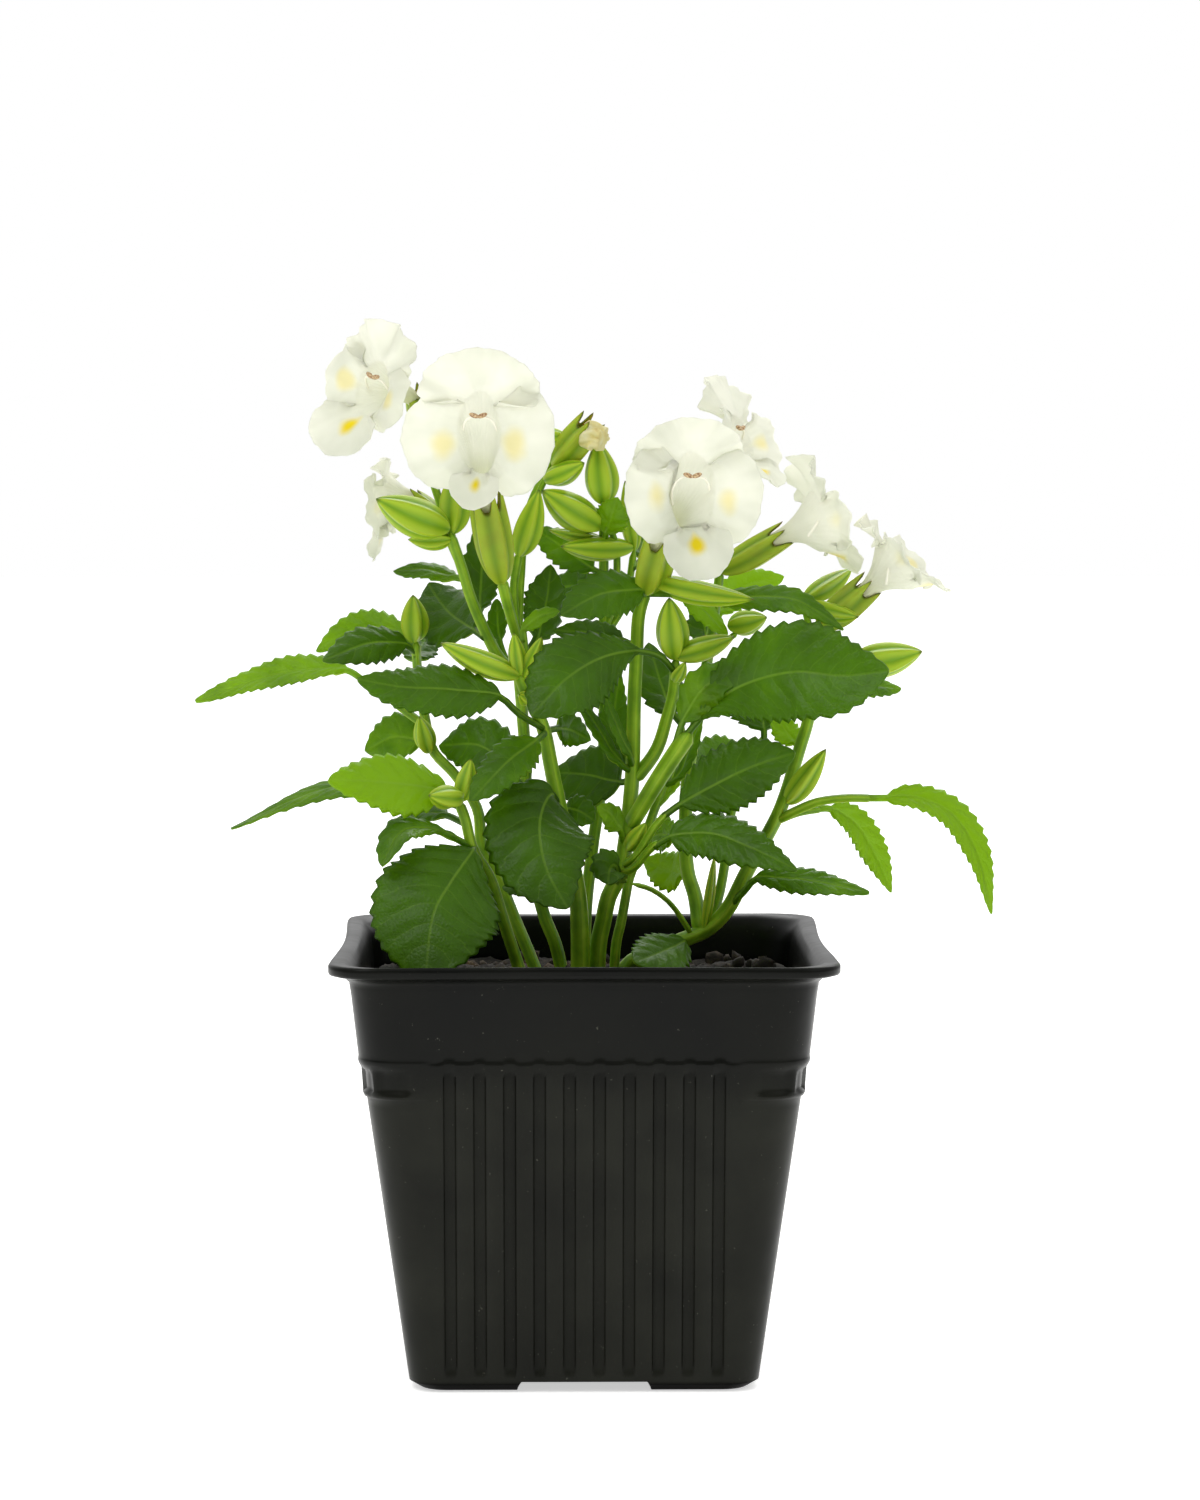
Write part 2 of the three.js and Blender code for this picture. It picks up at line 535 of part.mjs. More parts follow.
// The plant. shoots: [points, start radius, end radius]. leaves: stalk points to the blade's foot, then the
// blade.
// buds and cups: [foot, tip, seen width].
const STEMS = {
  stem_left_front: {
    shoots: [
      [[[-9.5, ROOT_Z, -10], [-13, 80, -11], [-16.2, 90, -14], [-19, 99, -17], [-22.5, 105, -19],
        [-24, 111, -20], [-25.5, 115, -20]], 1.3, 1],
    ],
    leaves: [
      { stalk: [[-22.5, 105, -19]], blade: [[-22.5, 104.5, -21], [-27, 98, -29], [-30.5, 91.5, -34],
        [-32.3, 77, -39]], width: 26.5, turn: 10, teeth: 8, cup: -0.16, fullest: 0.5 },
      { stalk: [[-22.5, 105, -19]], blade: [[-26, 107, -21], [-31, 109, -24], [-37, 108.4, -28],
        [-41, 101.2, -32]], width: 5, turn: 55, cup: 0.1, teeth: 4, fullest: 0.68 },
      { stalk: [[-24, 110, -19]], blade: [[-28, 111.8, -15], [-33, 112.2, -10], [-38.8, 110.3, -6]],
        width: 2.6, turn: 66, teeth: 3 },
      { stalk: [[-25.5, 114.5, -20]], blade: [[-28, 116.5, -21], [-40, 118.5, -27], [-52, 119, -32]],
        width: 11.5, turn: 35, teeth: 5 },
      { stalk: [[-25, 113.5, -20]], blade: [[-30, 115, -16], [-42, 117, -12], [-52, 117.3, -9],
        [-72, 109, -7]], width: 3, turn: 74, teeth: 6, cup: -0.08 },
    ],
    buds: [
      [[-24.5, 115.5, -21], [-31.5, 115.8, -28], 5.2],
      [[-25, 114.5, -20], [-22.8, 123.3, -18], 4.6],
    ],
  },
  stem_left_back: {
    shoots: [
      [[[-5.5, ROOT_Z, 1], [-9.7, 80, 3], [-13.7, 90, 6], [-16.5, 97, 8], [-20.5, 105, 10],
        [-21.5, 113, 12], [-26, 120, 14], [-30.5, 125, 16], [-32, 131, 16], [-33.5, 140, 15],
        [-34, 147.5, 12]], 1.3, 0.9],
      [[[-32, 130, 16], [-36, 133, 17], [-41, 137, 18], [-46, 140, 20]], 0.9, 0.8],
    ],
    leaves: [
      { stalk: [[-44, 138.8, 19.5]], blade: [[-48, 141.4, 21], [-58, 141.4, 25], [-68, 139, 28],
        [-79, 135, 29]], width: 5.8, turn: 52, teeth: 7, cup: 0.1 },
      { stalk: [[-31, 127, 16]], blade: [[-33, 127, 18], [-38.5, 127.8, 21], [-44.3, 124.8, 24]],
        width: 10.5, turn: 25, teeth: 4 },
      { stalk: [[-33.8, 145, 13]], blade: [[-36, 146.5, 12], [-43, 147, 8], [-53, 143.3, 3]], width: 8,
        turn: 40, teeth: 4 },
      { stalk: [[-33.8, 144, 13]], blade: [[-37, 149, 17], [-43, 150.3, 20], [-49, 148.7, 23],
        [-54.3, 145.2, 24]], width: 8, turn: 30, teeth: 5 },
      { stalk: [[-33.5, 141, 14]], blade: [[-34, 143.5, 19], [-33, 146, 24], [-31.5, 149, 29]], width: 7,
        turn: 30, teeth: 3 },
    ],
    buds: [
      [[-31.3, 124.5, 15], [-33.3, 132, 12], 4.8],
      [[-34.3, 147, 12], [-34.5, 156.8, 11], 6.4],
    ],
  },
  stem_mid_left: {
    shoots: [
      [[[-2, ROOT_Z, -0.7], [-5.5, 85, -2.5], [-7.5, 90, -2], [-9.2, 96, -1], [-11, 105, 2],
        [-11.8, 115, 5], [-11.6, 122, 6], [-12.5, 135, 6], [-13, 141, 4], [-13, 148.5, 0]], 1.3, 1.1],
      [[[-13, 140, 4], [-17, 144, 4], [-19, 147.5, 3], [-22.7, 156, 0], [-24.5, 162, -2], [-27, 169.5, -4]],
        1.2, 1],
      [[[-13, 147, 1], [-14.5, 152, -3], [-16.5, 160, -8]], 1, 1.2],
      [[[-13, 147, 1], [-14, 158, 3], [-12.8, 166, 3]], 0.8, 0.8],
      [[[-13, 147, 1], [-12.5, 160, 7], [-11, 174, 10], [-6, 184.5, 9]], 0.7, 0.7],
      [[[-11, 173, 10], [-7.5, 180.5, 8]], 0.6, 0.6],
      [[[-25, 163, -2], [-27.5, 169, 4], [-29, 173, 9]], 0.8, 0.9],
      [[[-26, 167, -3], [-28.5, 174, 1], [-31.5, 184, 3], [-32.5, 191, 3]], 0.8, 0.8],
    ],
    leaves: [
      { stalk: [[-24, 160, -1]], blade: [[-26, 160.3, 2], [-32, 162, 5], [-38.5, 161.5, 8]], width: 3.5,
        turn: 58, teeth: 3 },
      { stalk: [[-20, 148, 2]], blade: [[-22, 149.5, 7], [-27.5, 153.5, 17.5], [-31.5, 159, 25]], width: 15,
        turn: 20, teeth: 5, fullest: 0.5 },
      { stalk: [[-21, 151, 2]], blade: [[-21, 154, 6], [-20.5, 163, 11], [-20, 172, 14]], width: 8.5,
        turn: 15, teeth: 4 },
      { stalk: [[-11.8, 118, 5]], blade: [[-15, 121.5, 8], [-21, 126, 13], [-29.3, 126, 19]], width: 12.5,
        turn: 25, teeth: 5 },
      { stalk: [[-9.2, 96, -1]], blade: [[-11, 97, 0], [-16.5, 97, 2.5]], width: 3, turn: 50, teeth: 2 },
      { stalk: [[-13, 143, 3]], blade: [[-9.5, 148, 7], [-7.5, 155, 9], [-6.5, 163, 9]], width: 9.5,
        turn: 35, teeth: 4 },
      { stalk: [[-15, 142, 4]], blade: [[-17, 147.5, 7], [-17.5, 156, 7]], width: 4.5, turn: 30, teeth: 2 },
    ],
    buds: [
      [[-26.5, 168, -4], [-35.5, 168, -2], 4.2],
      [[-27, 170, -4.5], [-42, 176.3, -9], 8.5],
      [[-26.5, 169, -3], [-26, 181.7, 2], 7],
      [[-13, 164.5, 3], [-8.8, 178.2, 0], 6.2],
      [[-7.8, 180, 8], [0.4, 183.6, 3], 5.2],
      [[-3.6, 189, 7.5], [-10.8, 189.4, 8], 3.6],
    ],
    cups: [
      [[-16.5, 159, -8], [-19.5, 175, -13], 8.6],
      [[-6, 182.8, 9], [1, 190.6, 5], 7.6],
      [[-29, 172.5, 9], [-34, 176, 13], 5.6],
      [[-32.5, 190, 4], [-33.5, 197.5, 1], 6],
    ],
  },
  stem_centre: {
    shoots: [
      [[[-0.4, ROOT_Z, -5.5], [-1, 95, -7], [-3, 105, -7.5], [-4.5, 112, -8], [-6.5, 122, -8],
        [-8, 129.5, -8], [-10, 134, -9], [-12, 138, -10], [-13, 141, -10]], 2, 1.2],
      [[[-12, 137.5, -10], [-11.5, 144, -9], [-12, 150, -7]], 0.6, 0.5],
    ],
    leaves: [
      { stalk: [[-8, 129.5, -9], [-13, 132.5, -11]], blade: [[-17, 136, -14], [-27, 137.5, -17],
        [-37, 138, -19], [-46, 139.5, -20]], width: 10.5, turn: 38, teeth: 6 },
      { stalk: [[-7.8, 128.5, -9]], blade: [[-9.5, 127, -13], [-15, 123, -20], [-23, 114.5, -27]],
        width: 8.5, turn: 35, teeth: 5 },
      { stalk: [[-4.8, 113.5, -8]], blade: [[-6.5, 116, -12], [-8.8, 110, -20], [-7.5, 101, -25],
        [-3, 92.5, -28]], width: 22.5, turn: 8, teeth: 7, fullest: 0.4 },
      { stalk: [[-12, 147, -8]], blade: [[-12, 149.5, -7], [-8.5, 152.5, -9], [-4.7, 153.5, -11]],
        width: 3.4, turn: 40, teeth: 2 },
      { stalk: [[-7.5, 129, -8]], blade: [[-5, 129.5, -3], [-2, 129, 2], [1.5, 127, 6]], width: 7, turn: 20,
        teeth: 3 },
      { stalk: [[-4.2, 112, -7.5]], blade: [[-3, 113, -6], [-0.5, 112.5, -4.5], [2.5, 110.5, -4]], width: 7,
        turn: 20, teeth: 3 },
    ],
    buds: [
      [[-12.5, 140, -10], [-29, 147, -15], 5.5],
      [[-12.8, 140, -10], [-14, 149, -12], 4],
      [[-12, 139.5, -10], [-8.3, 148.3, -11], 4],
      [[-10.5, 135, -10], [-13, 136.5, -14], 3.2],
    ],
  },
  stem_right_front: {
    shoots: [
      [[[2.7, ROOT_Z, -2.6], [3.2, 85, -4], [4.2, 90, -4.5], [5.3, 95, -5], [7.5, 99.5, -5], [9, 108, -4],
        [10, 118, -3], [10.3, 125, -3], [10.5, 135, -2], [11, 145, -1], [11.5, 153, 0], [13, 158, 0]], 1.7,
        1.2],
      [[[7.5, 99.5, -5], [10.5, 101, -8], [13.5, 104.5, -10], [16, 106.5, -11]], 0.9, 0.7],
      [[[8, 101, -5], [11, 103.5, -8], [14.5, 109, -9.5], [18, 113, -10]], 0.9, 0.7],
      [[[9.3, 109, -4], [12.3, 114, -6.5], [16, 120, -8.5], [22, 129, -10]], 1.5, 1.7],
      [[[10.2, 118.5, -3], [15, 125, -2], [17, 131, -1], [18.5, 137, 0], [19, 144, 0]], 1.3, 1],
      [[[13, 157, 0], [17, 165, 9], [21, 173, 14]], 0.8, 0.8],
    ],
    leaves: [
      { stalk: [[14.5, 105.2, -10.5]], blade: [[18, 107.2, -11.5], [26, 108, -15], [34, 105.2, -19],
        [44, 100.3, -23]], width: 9.5, turn: 38, teeth: 6, fullest: 0.36 },
      { stalk: [[16.5, 111.5, -9.8]], blade: [[20, 114, -10.5], [27, 118, -13], [35, 121.8, -16],
        [43.5, 124.5, -19]], width: 14, turn: 15, teeth: 6, fullest: 0.46 },
      { stalk: [[20, 126.5, -9.5]], blade: [[23.5, 131, -11], [31, 137.5, -17], [43, 141, -24],
        [53, 140.2, -27], [62.7, 141.2, -29]], width: 20, turn: 18, teeth: 9, fullest: 0.58, cup: 0.1 },
      { stalk: [[10, 119, -3]], blade: [[7.5, 118.5, 0], [1, 120, 4], [-6, 120.5, 9]], width: 13, turn: 30,
        teeth: 4 },
      { stalk: [[10.2, 120.5, -3]], blade: [[7.5, 122.5, -5], [3.5, 129, -5], [-1.5, 136.5, -4]],
        width: 3.2, turn: 50, teeth: 3 },
      { stalk: [[10.2, 121.5, -3]], blade: [[9.5, 124, -6], [7, 130, -8], [4, 137, -8]], width: 2.6,
        turn: 55, teeth: 3 },
      { stalk: [[18.8, 141, 0], [16, 144, -3]], blade: [[12, 145.2, -6], [4, 144, -14], [-3.5, 139.5, -19],
        [-10.5, 132, -22]], width: 16.5, turn: 18, teeth: 7, fullest: 0.6 },
      { stalk: [[12.5, 156.5, 0]], blade: [[12, 157.5, -3], [4, 157, -8], [-4.5, 152.5, -13]], width: 10,
        turn: 35, teeth: 5 },
      { stalk: [[12.8, 157, 0], [20, 156.8, -4]], blade: [[27, 155.8, -6], [35, 156.4, -9],
        [43, 155.8, -12], [49, 152.6, -14], [53.3, 149.5, -15]], width: 5.5, turn: 45, teeth: 5 },
      { stalk: [[8.5, 106, -4.5]], blade: [[7.5, 109, -8], [5.5, 112, -10], [3, 113.5, -11]], width: 5,
        turn: 40, teeth: 2 },
      { stalk: [[12.8, 157, 0]], blade: [[20, 157, 4], [25.5, 153, 6], [29.5, 148.5, 7]], width: 5,
        turn: 45, teeth: 3 },
      { stalk: [[9.5, 121, -2]], blade: [[8, 125, -1], [6.5, 132, 1], [7.5, 141, 3]], width: 6.5, turn: 20,
        teeth: 4 },
      { stalk: [[7.5, 99.5, -5]], blade: [[6.5, 101.5, -9], [5.5, 100.5, -14], [5.2, 97.5, -17]], width: 9,
        turn: 5, teeth: 3 },
      { stalk: [[11, 146, -1]], blade: [[8, 147.5, 1], [2, 149, 4], [-6, 149.5, 8]], width: 6, turn: 35,
        teeth: 4 },
      { stalk: [[19, 126.5, -9.4]], blade: [[20.5, 131, -10.5], [25, 138, -14.5], [33, 142.5, -18]],
        width: 9, turn: 18, teeth: 3 },
    ],
    buds: [
      [[9, 104.5, -5], [13, 110.3, -8], 4],
      [[18.7, 143.5, 0], [17.6, 156.2, -3], 7.2],
      [[18.5, 144, 0], [31, 148.2, -2], 5.4],
      [[18.6, 139, 0], [21, 143, -4], 3],
      [[13, 160, 0], [34.9, 155.8, -13], 5.4],
    ],
    cups: [
      [[12.8, 157, -1], [15.5, 167, -6], 8.5],
      [[21, 172.5, 14], [26, 180, 16], 6.5],
    ],
  },
  stem_right_thin: {
    shoots: [
      [[[6.2, ROOT_Z, -0.5], [6.8, 85, -1], [7.9, 90, -1], [8.8, 95, -0.5], [9.6, 99, 0], [12, 105, 1],
        [14, 111, 2], [15.5, 115, 3], [17, 119, 4], [19.5, 124, 6], [20.5, 130, 7]], 1, 0.8],
    ],
    leaves: [
      { stalk: [[16.5, 118, 4]], blade: [[19, 119, 2], [22, 126, 0], [24.5, 133, 0]], width: 3, turn: 55,
        teeth: 3 },
      { stalk: [[20.5, 130, 7]], blade: [[18.5, 132.5, 8], [16, 138.5, 13], [13.5, 147, 19]], width: 9.5,
        turn: 30, teeth: 4 },
      { stalk: [[15.5, 114, 2.8]], blade: [[17.3, 116, 4], [18.8, 120, 6], [19.6, 125, 8]], width: 3.4,
        turn: 20, teeth: 3 },
    ],
  },
  stem_centre_back: {
    shoots: [
      [[[0.5, ROOT_Z, 5.5], [0.5, 90, 8], [2, 105, 10], [4, 120, 11], [4.3, 150, 12], [4.3, 163, 10],
        [4.3, 176, 8]], 1.3, 0.9],
      [[[4.3, 149, 12], [6.5, 156, 11], [6.5, 168, 9], [4, 172, 8]], 0.7, 0.7],
      [[[4.3, 148, 12], [8.5, 155, 13], [10.5, 166, 11]], 0.7, 0.7],
    ],
    leaves: [
      { stalk: [[4.3, 166, 9.5]], blade: [[4.8, 169.5, 7], [5.8, 172.5, 4], [7.2, 176.5, 2]], width: 7.5,
        turn: 20, teeth: 4 },
      { stalk: [[4.3, 161, 10]], blade: [[2, 162, 12], [-4, 166.5, 14], [-10.5, 170.5, 16]], width: 8,
        turn: 20, teeth: 4 },
      { stalk: [[10, 162, 11.5]], blade: [[12, 164, 15], [15, 170, 22], [17, 176, 29]], width: 8, turn: 25,
        teeth: 4 },
      { stalk: [[4.3, 157, 11.3]], blade: [[2, 158, 14], [-2, 158.5, 18], [-7, 158, 22]], width: 8,
        turn: 20, teeth: 3 },
    ],
    buds: [
      [[4.3, 175, 8], [3, 188, 7], 7.5],
      [[3.9, 170.4, 8], [-8.3, 178, 2], 7.8],
      [[10.4, 166.4, 11], [-4.5, 166.6, 2], 5.4],
      [[10.5, 165.5, 11], [8.6, 180, 12], 4.5],
      [[4.3, 168, 9], [-7, 170, 7], 3],
    ],
  },
  stem_right: {
    shoots: [
      [[[7, ROOT_Z, 3.5], [9, 80.5, 3], [16, 84, 1], [19, 85.5, 0], [25, 88, 0], [27, 89.5, -1],
        [30, 93, -2], [33, 99, -4], [36, 104.5, -6], [38.5, 109, -7], [40, 112, -8], [41.5, 116, -7],
        [43, 121, -5], [44.5, 126, -3], [46, 131, -2], [47, 138, -1], [48, 151, 0]], 1.7, 1],
      [[[24, 87.5, 0], [23, 95, 4], [21.5, 100, 7], [21, 108, 10], [21.5, 120, 13], [24, 135, 14],
        [26.5, 150, 11], [28, 162, 7]], 1.5, 0.9],
      [[[25, 88, 0], [27.5, 94, 2], [28.8, 100, 3], [30.3, 112, 5], [33, 120, 7], [37, 128, 8]], 1, 0.8],
      [[[22.5, 87, 0], [18, 93.5, -5], [14, 96.5, -9], [10, 97.7, -12]], 0.6, 0.5],
      [[[39.5, 110.5, -7.5], [44, 112.8, -11], [48, 114.4, -13], [54, 115.2, -16], [60, 115.1, -18]], 0.9,
        0.8],
      [[[39.5, 110.5, -7.5], [44, 112.2, -6], [49, 113, -4]], 0.8, 0.7],
      [[[47, 138, -1], [51, 141, -2], [55, 142.5, -3]], 0.7, 0.7],
      [[[47.6, 146, 0], [46, 151, 1], [45, 155.5, 2]], 0.7, 0.7],
      [[[25.8, 146, 12], [28.5, 147, 10], [31.5, 149, 8]], 0.6, 0.6],
    ],
    leaves: [
      { stalk: [[20, 85.8, 0]], blade: [[20.5, 85.6, -4], [16, 83.6, -12], [10.5, 81.4, -20]], width: 6,
        turn: 60, teeth: 5 },
      { stalk: [[22, 98, 6]], blade: [[20.5, 99.5, 10], [17.5, 100.5, 15], [12.5, 102.5, 20]], width: 9,
        turn: 20, teeth: 4 },
      { stalk: [[30.5, 93.5, -2.5], [33, 96, -6]], blade: [[35.5, 98.6, -8], [43, 98.7, -12],
        [51, 97.5, -15], [58.8, 95.7, -17]], width: 5, turn: 50, teeth: 5 },
      { stalk: [[57, 115.2, -17]], blade: [[62, 115.2, -18.5], [68, 115.4, -20], [75.6, 111.9, -21],
        [80.8, 103.6, -22], [83.8, 91.2, -22]], width: 6.5, turn: 40, teeth: 8, cup: 0.1 },
      { stalk: [[47, 112.8, -4.5]], blade: [[50.5, 113, -3.5], [55.6, 110.2, -1], [60, 103.2, 1],
        [63.2, 95.7, 2]], width: 6.8, turn: 30, teeth: 6, cup: 0.1 },
      { stalk: [[37, 127, 8]], blade: [[37, 129, 8], [36.5, 132, 10], [35.5, 136.5, 13], [34, 141, 16]],
        width: 15, turn: 10, teeth: 5, fullest: 0.48 },
      { stalk: [[44.5, 124, -3.5]], blade: [[43.5, 126.5, -1], [41, 129.5, 2], [39, 132.5, 4]], width: 6,
        turn: 10, teeth: 3 },
      { stalk: [[47, 136, -1]], blade: [[50, 137.5, 2], [57, 138.5, 5], [65, 137.4, 8]], width: 5, turn: 50,
        teeth: 4 },
      { stalk: [[21.5, 118, 12.5]], blade: [[23, 121, 17], [28, 124, 24], [34, 124, 31]], width: 9,
        turn: 30, teeth: 5 },
      { stalk: [[26, 148, 11.5]], blade: [[28, 153, 14], [33, 158.5, 18], [41, 160.3, 22]], width: 8,
        turn: 25, teeth: 5 },
      { stalk: [[21, 106, 9.3]], blade: [[18.5, 107.2, 13], [15.5, 107.8, 17], [12, 106.5, 21]], width: 8,
        turn: 20, teeth: 4 },
      { stalk: [[25.5, 144, 12.5]], blade: [[25.3, 147, 15], [24.8, 150.5, 18], [24, 155, 20]], width: 8,
        turn: 20, teeth: 3 },
    ],
    buds: [
      [[24.8, 88, -1], [27, 103.8, -3], 2.4],
      [[41.5, 114, -7.5], [49.7, 125.3, -12], 5.2],
      [[54.5, 142.5, -3], [69.3, 145.2, -6], 7.6],
      [[44.8, 155.4, 2], [54.8, 162, 12], 5],
      [[45.2, 155, 2], [56.3, 152.2, -8], 4.5],
      [[29.5, 150.3, 8], [37.6, 152.2, 6], 5.6],
    ],
    cups: [
      [[48, 150, 0], [57.3, 157.6, -1], 7.5],
      [[28, 161.5, 7], [39.5, 168, 4], 6.8],
    ],
  },
};

const BLOOMS = {
  bloom_far_left: {
    seat: [-33.2, 194.5, 2.2], mouth: [-35, 197, 0.5], throat: [-42.5, 198.5, -7], yaw: -40, pitch: 8,
    roll: -14, open: 4,
    lobes: [
      { at: -10, half: 45, reach: 11, lean: -0.1, steps: 4 },
      { at: 85, half: 50, reach: 14, lean: 0.1, steps: 6 },
      { at: 180, half: 45, reach: 13, lean: -0.2, steps: 5 },
      { at: 265, half: 40, reach: 15, lean: 0.35, steps: 4 },
    ],
  },
  bloom_left: {
    seat: [-18, 167.5, -10.5], mouth: [-19.7, 176, -13], throat: [-21, 189.5, -19], yaw: -6, pitch: -6, open: 4,
    tall: 2,
    lobes: [
      { at: -12, half: 56, reach: 15.2, lean: -0.12, steps: 5, breadth: 11 },
      { at: 88, half: 44, reach: 17, lean: 0.15, steps: 7, breadth: 12 },
      { at: 192, half: 56, reach: 15.6, lean: -0.12, steps: 5, breadth: 9.5 },
      { at: 266, half: 22, reach: 14.5, lean: 0.4, steps: 3, breadth: 5 },
    ],
  },
  bloom_left_behind: {
    seat: [-31, 174, 10.5], mouth: [-34, 176, 13], throat: [-39, 176, 18], yaw: -100, pitch: -8, open: 3.8,
    lobes: [
      { at: -10, half: 45, reach: 11, lean: 0.1, steps: 4 },
      { at: 85, half: 50, reach: 9, lean: 0.1, steps: 5 },
      { at: 180, half: 45, reach: 11, lean: 0.1, steps: 4 },
      { at: 265, half: 40, reach: 12, lean: 0.3, steps: 4 },
    ],
  },
  bloom_right_behind: {
    seat: [24, 176.5, 15.2], mouth: [27, 181.5, 16.5], throat: [32, 188, 20], yaw: 60, pitch: 20, open: 4,
    lobes: [
      { at: -10, half: 45, reach: 11, lean: 0.1, steps: 4 },
      { at: 85, half: 50, reach: 15, lean: -0.1, steps: 6 },
      { at: 180, half: 45, reach: 11, lean: 0.1, steps: 4 },
      { at: 265, half: 40, reach: 12, lean: 0.3, steps: 4 },
    ],
  },
  bloom_right: {
    seat: [14.2, 162, -3.6], mouth: [15.8, 168, -6.5], throat: [22.2, 177.5, -17], yaw: 4, pitch: -4, open: 4.4,
    tall: 1.75,
    lobes: [
      { at: -8, half: 54, reach: 14.2, lean: -0.12, steps: 5, breadth: 9.8 },
      { at: 96, half: 50, reach: 15, lean: 0.1, steps: 7, breadth: 11 },
      { at: 183, half: 54, reach: 13.6, lean: -0.12, steps: 5, breadth: 9.8 },
      { at: 275, half: 34, reach: 17, lean: 0.4, steps: 4, breadth: 7 },
    ],
  },
  bloom_far_right_tube: {
    seat: [33.5, 164.8, 5.5], mouth: [40.5, 168.5, 3.5], throat: [48, 171.5, 1], yaw: 105, pitch: 12, open: 4.4,
    lobes: [
      { at: -12, half: 46, reach: 10, lean: 0.2, steps: 4 },
      { at: 85, half: 51, reach: 14.5, lean: -0.15, steps: 6 },
      { at: 180, half: 44, reach: 10, lean: 0.2, steps: 4 },
      { at: 264, half: 40, reach: 12, lean: 0.35, steps: 4 },
    ],
  },
  bloom_far_right: {
    seat: [53, 154, -0.6], mouth: [57.5, 157.5, -1.3], throat: [64, 163, -3], yaw: 80, pitch: 38, open: 4.3,
    lobes: [
      { at: -12, half: 46, reach: 10.5, lean: 0.2, steps: 4 },
      { at: 85, half: 51, reach: 12, lean: 0, steps: 6 },
      { at: 180, half: 44, reach: 10.5, lean: 0.2, steps: 4 },
      { at: 264, half: 40, reach: 11, lean: 0.3, steps: 4 },
    ],
  },
};

// The spent corolla: a crumpled cone that still sits in its calyx.
const WITHERED = [[-2.5, 186.8, 6.6], [0, 188.2, 4.8], [2.2, 188.8, 3.4], [4.3, 188.4, 2.2]];
const WITHERED_RADII = [1, 1.5, 3, 2.2];

function stemSolid({ shoots, leaves = [], buds = [], cups = [] }) {
  const solids = shoots.map(([points, startRadius, endRadius]) => {
    return solid(tube(points.map(seen), [startRadius, endRadius], startRadius > 0.95 ? 5 : 4));
  });
  leaves.forEach((leaf) => solids.push(solid(leafGeometry(leaf))));
  buds.forEach(([foot, tip, width]) => solids.push(solid(calyx(foot, tip, width))));
  cups.forEach(([foot, tip, width]) => solids.push(solid(calyx(foot, tip, width, true))));
  return wasm.Manifold.union(solids);
}

// What a bloom's tube takes out of the cup that holds it.
function seatSolid({ seat, mouth, throat, open, tall = TALL }) {
  const [start, end, far] = [seat, mouth, throat].map(seen);
  const from = start.clone().addScaledVector(end.clone().sub(start).normalize(), -PETAL_THICKNESS - GAP);
  const spare = PETAL_THICKNESS + HOLE_MARGIN;
  const radii = [TUBE_FOOT + spare, TUBE_MOUTH + spare, ((open * TUBE_SHARE * (tall + 1)) / 2) + spare];
  return solid(tube([from, end, end.clone().lerp(far, TUBE_STEP)], radii, 8));
}

function rootHole({ shoots }) {
  const [points, radius] = shoots[0];
  const [low, high] = points.slice(0, 2).map(seen);
  const along = high.clone().sub(low).normalize();
  const from = low.clone().addScaledVector(along, -GAP);
  const to = low.clone().addScaledVector(along, (SOIL_TOP + 8 - low.z) / along.z);
  return solid(tube([from, to], [radius + HOLE_MARGIN, radius + HOLE_MARGIN], 8));
}

function witheredCorolla() {
  const centres = WITHERED.map(seen);
  let side = new THREE.Vector3(0, -1, 0.2);
  const rings = centres.map((centre, i) => {
    const [across, up] = carried(directionAt(centres, i), side);
    side = across;
    return ringAt(centre, across, up, 10, (k) => WITHERED_RADII[i] * (k % 2 === 0 || i < 2 ? 1 : 0.72));
  });
  return loft(rings);
}

const plant = new THREE.Group();
const add = (name, geometry, material) => {
  const mesh = new THREE.Mesh(geometry, material);
  mesh.name = name;
  plant.add(mesh);
};

add("pot", geometryOf(pot()), plastic);
add("soil", geometryOf(soil(Object.values(STEMS).map(rootHole))), earth);
const seats = wasm.Manifold.union(Object.values(BLOOMS).map(seatSolid));
const spentSeat = solid(tube(WITHERED.map(seen), WITHERED_RADII.map((radius) => radius + HOLE_MARGIN), 8));
for (const [name, stem] of Object.entries(STEMS)) {
  add(name, geometryOf(stemSolid(stem).subtract(seats).subtract(spentSeat)), foliage);
}
for (const [name, shape] of Object.entries(BLOOMS)) {
  add(name, geometryOf(solid(bloom(shape))), petal);
}
add("withered_corolla", geometryOf(solid(witheredCorolla())), dryPetal);

export default plant;
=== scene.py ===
"""A potted wishbone flower: eight leafy stems with white blooms in a square black nursery pot.

The leaves, stems, calyces, blooms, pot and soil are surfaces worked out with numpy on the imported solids'
layout.
"""

import math

import bpy
import numpy as np
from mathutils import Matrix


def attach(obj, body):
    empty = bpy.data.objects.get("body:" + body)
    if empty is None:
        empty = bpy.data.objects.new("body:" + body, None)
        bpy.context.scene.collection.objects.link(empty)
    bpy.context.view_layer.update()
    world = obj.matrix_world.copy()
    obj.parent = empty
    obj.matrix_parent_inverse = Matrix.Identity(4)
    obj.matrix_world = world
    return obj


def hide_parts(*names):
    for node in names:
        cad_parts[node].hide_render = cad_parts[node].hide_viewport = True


bl_info = {
    "name": "Potted Wishbone Flower",
    "version": (1, 0, 0),
    "blender": (4, 5, 0),
    "location": "View3D > Sidebar > Wishbone Flower",
    "description": "Builds a young wishbone flower with white blooms in a square nursery pot",
    "category": "Add Mesh",
}

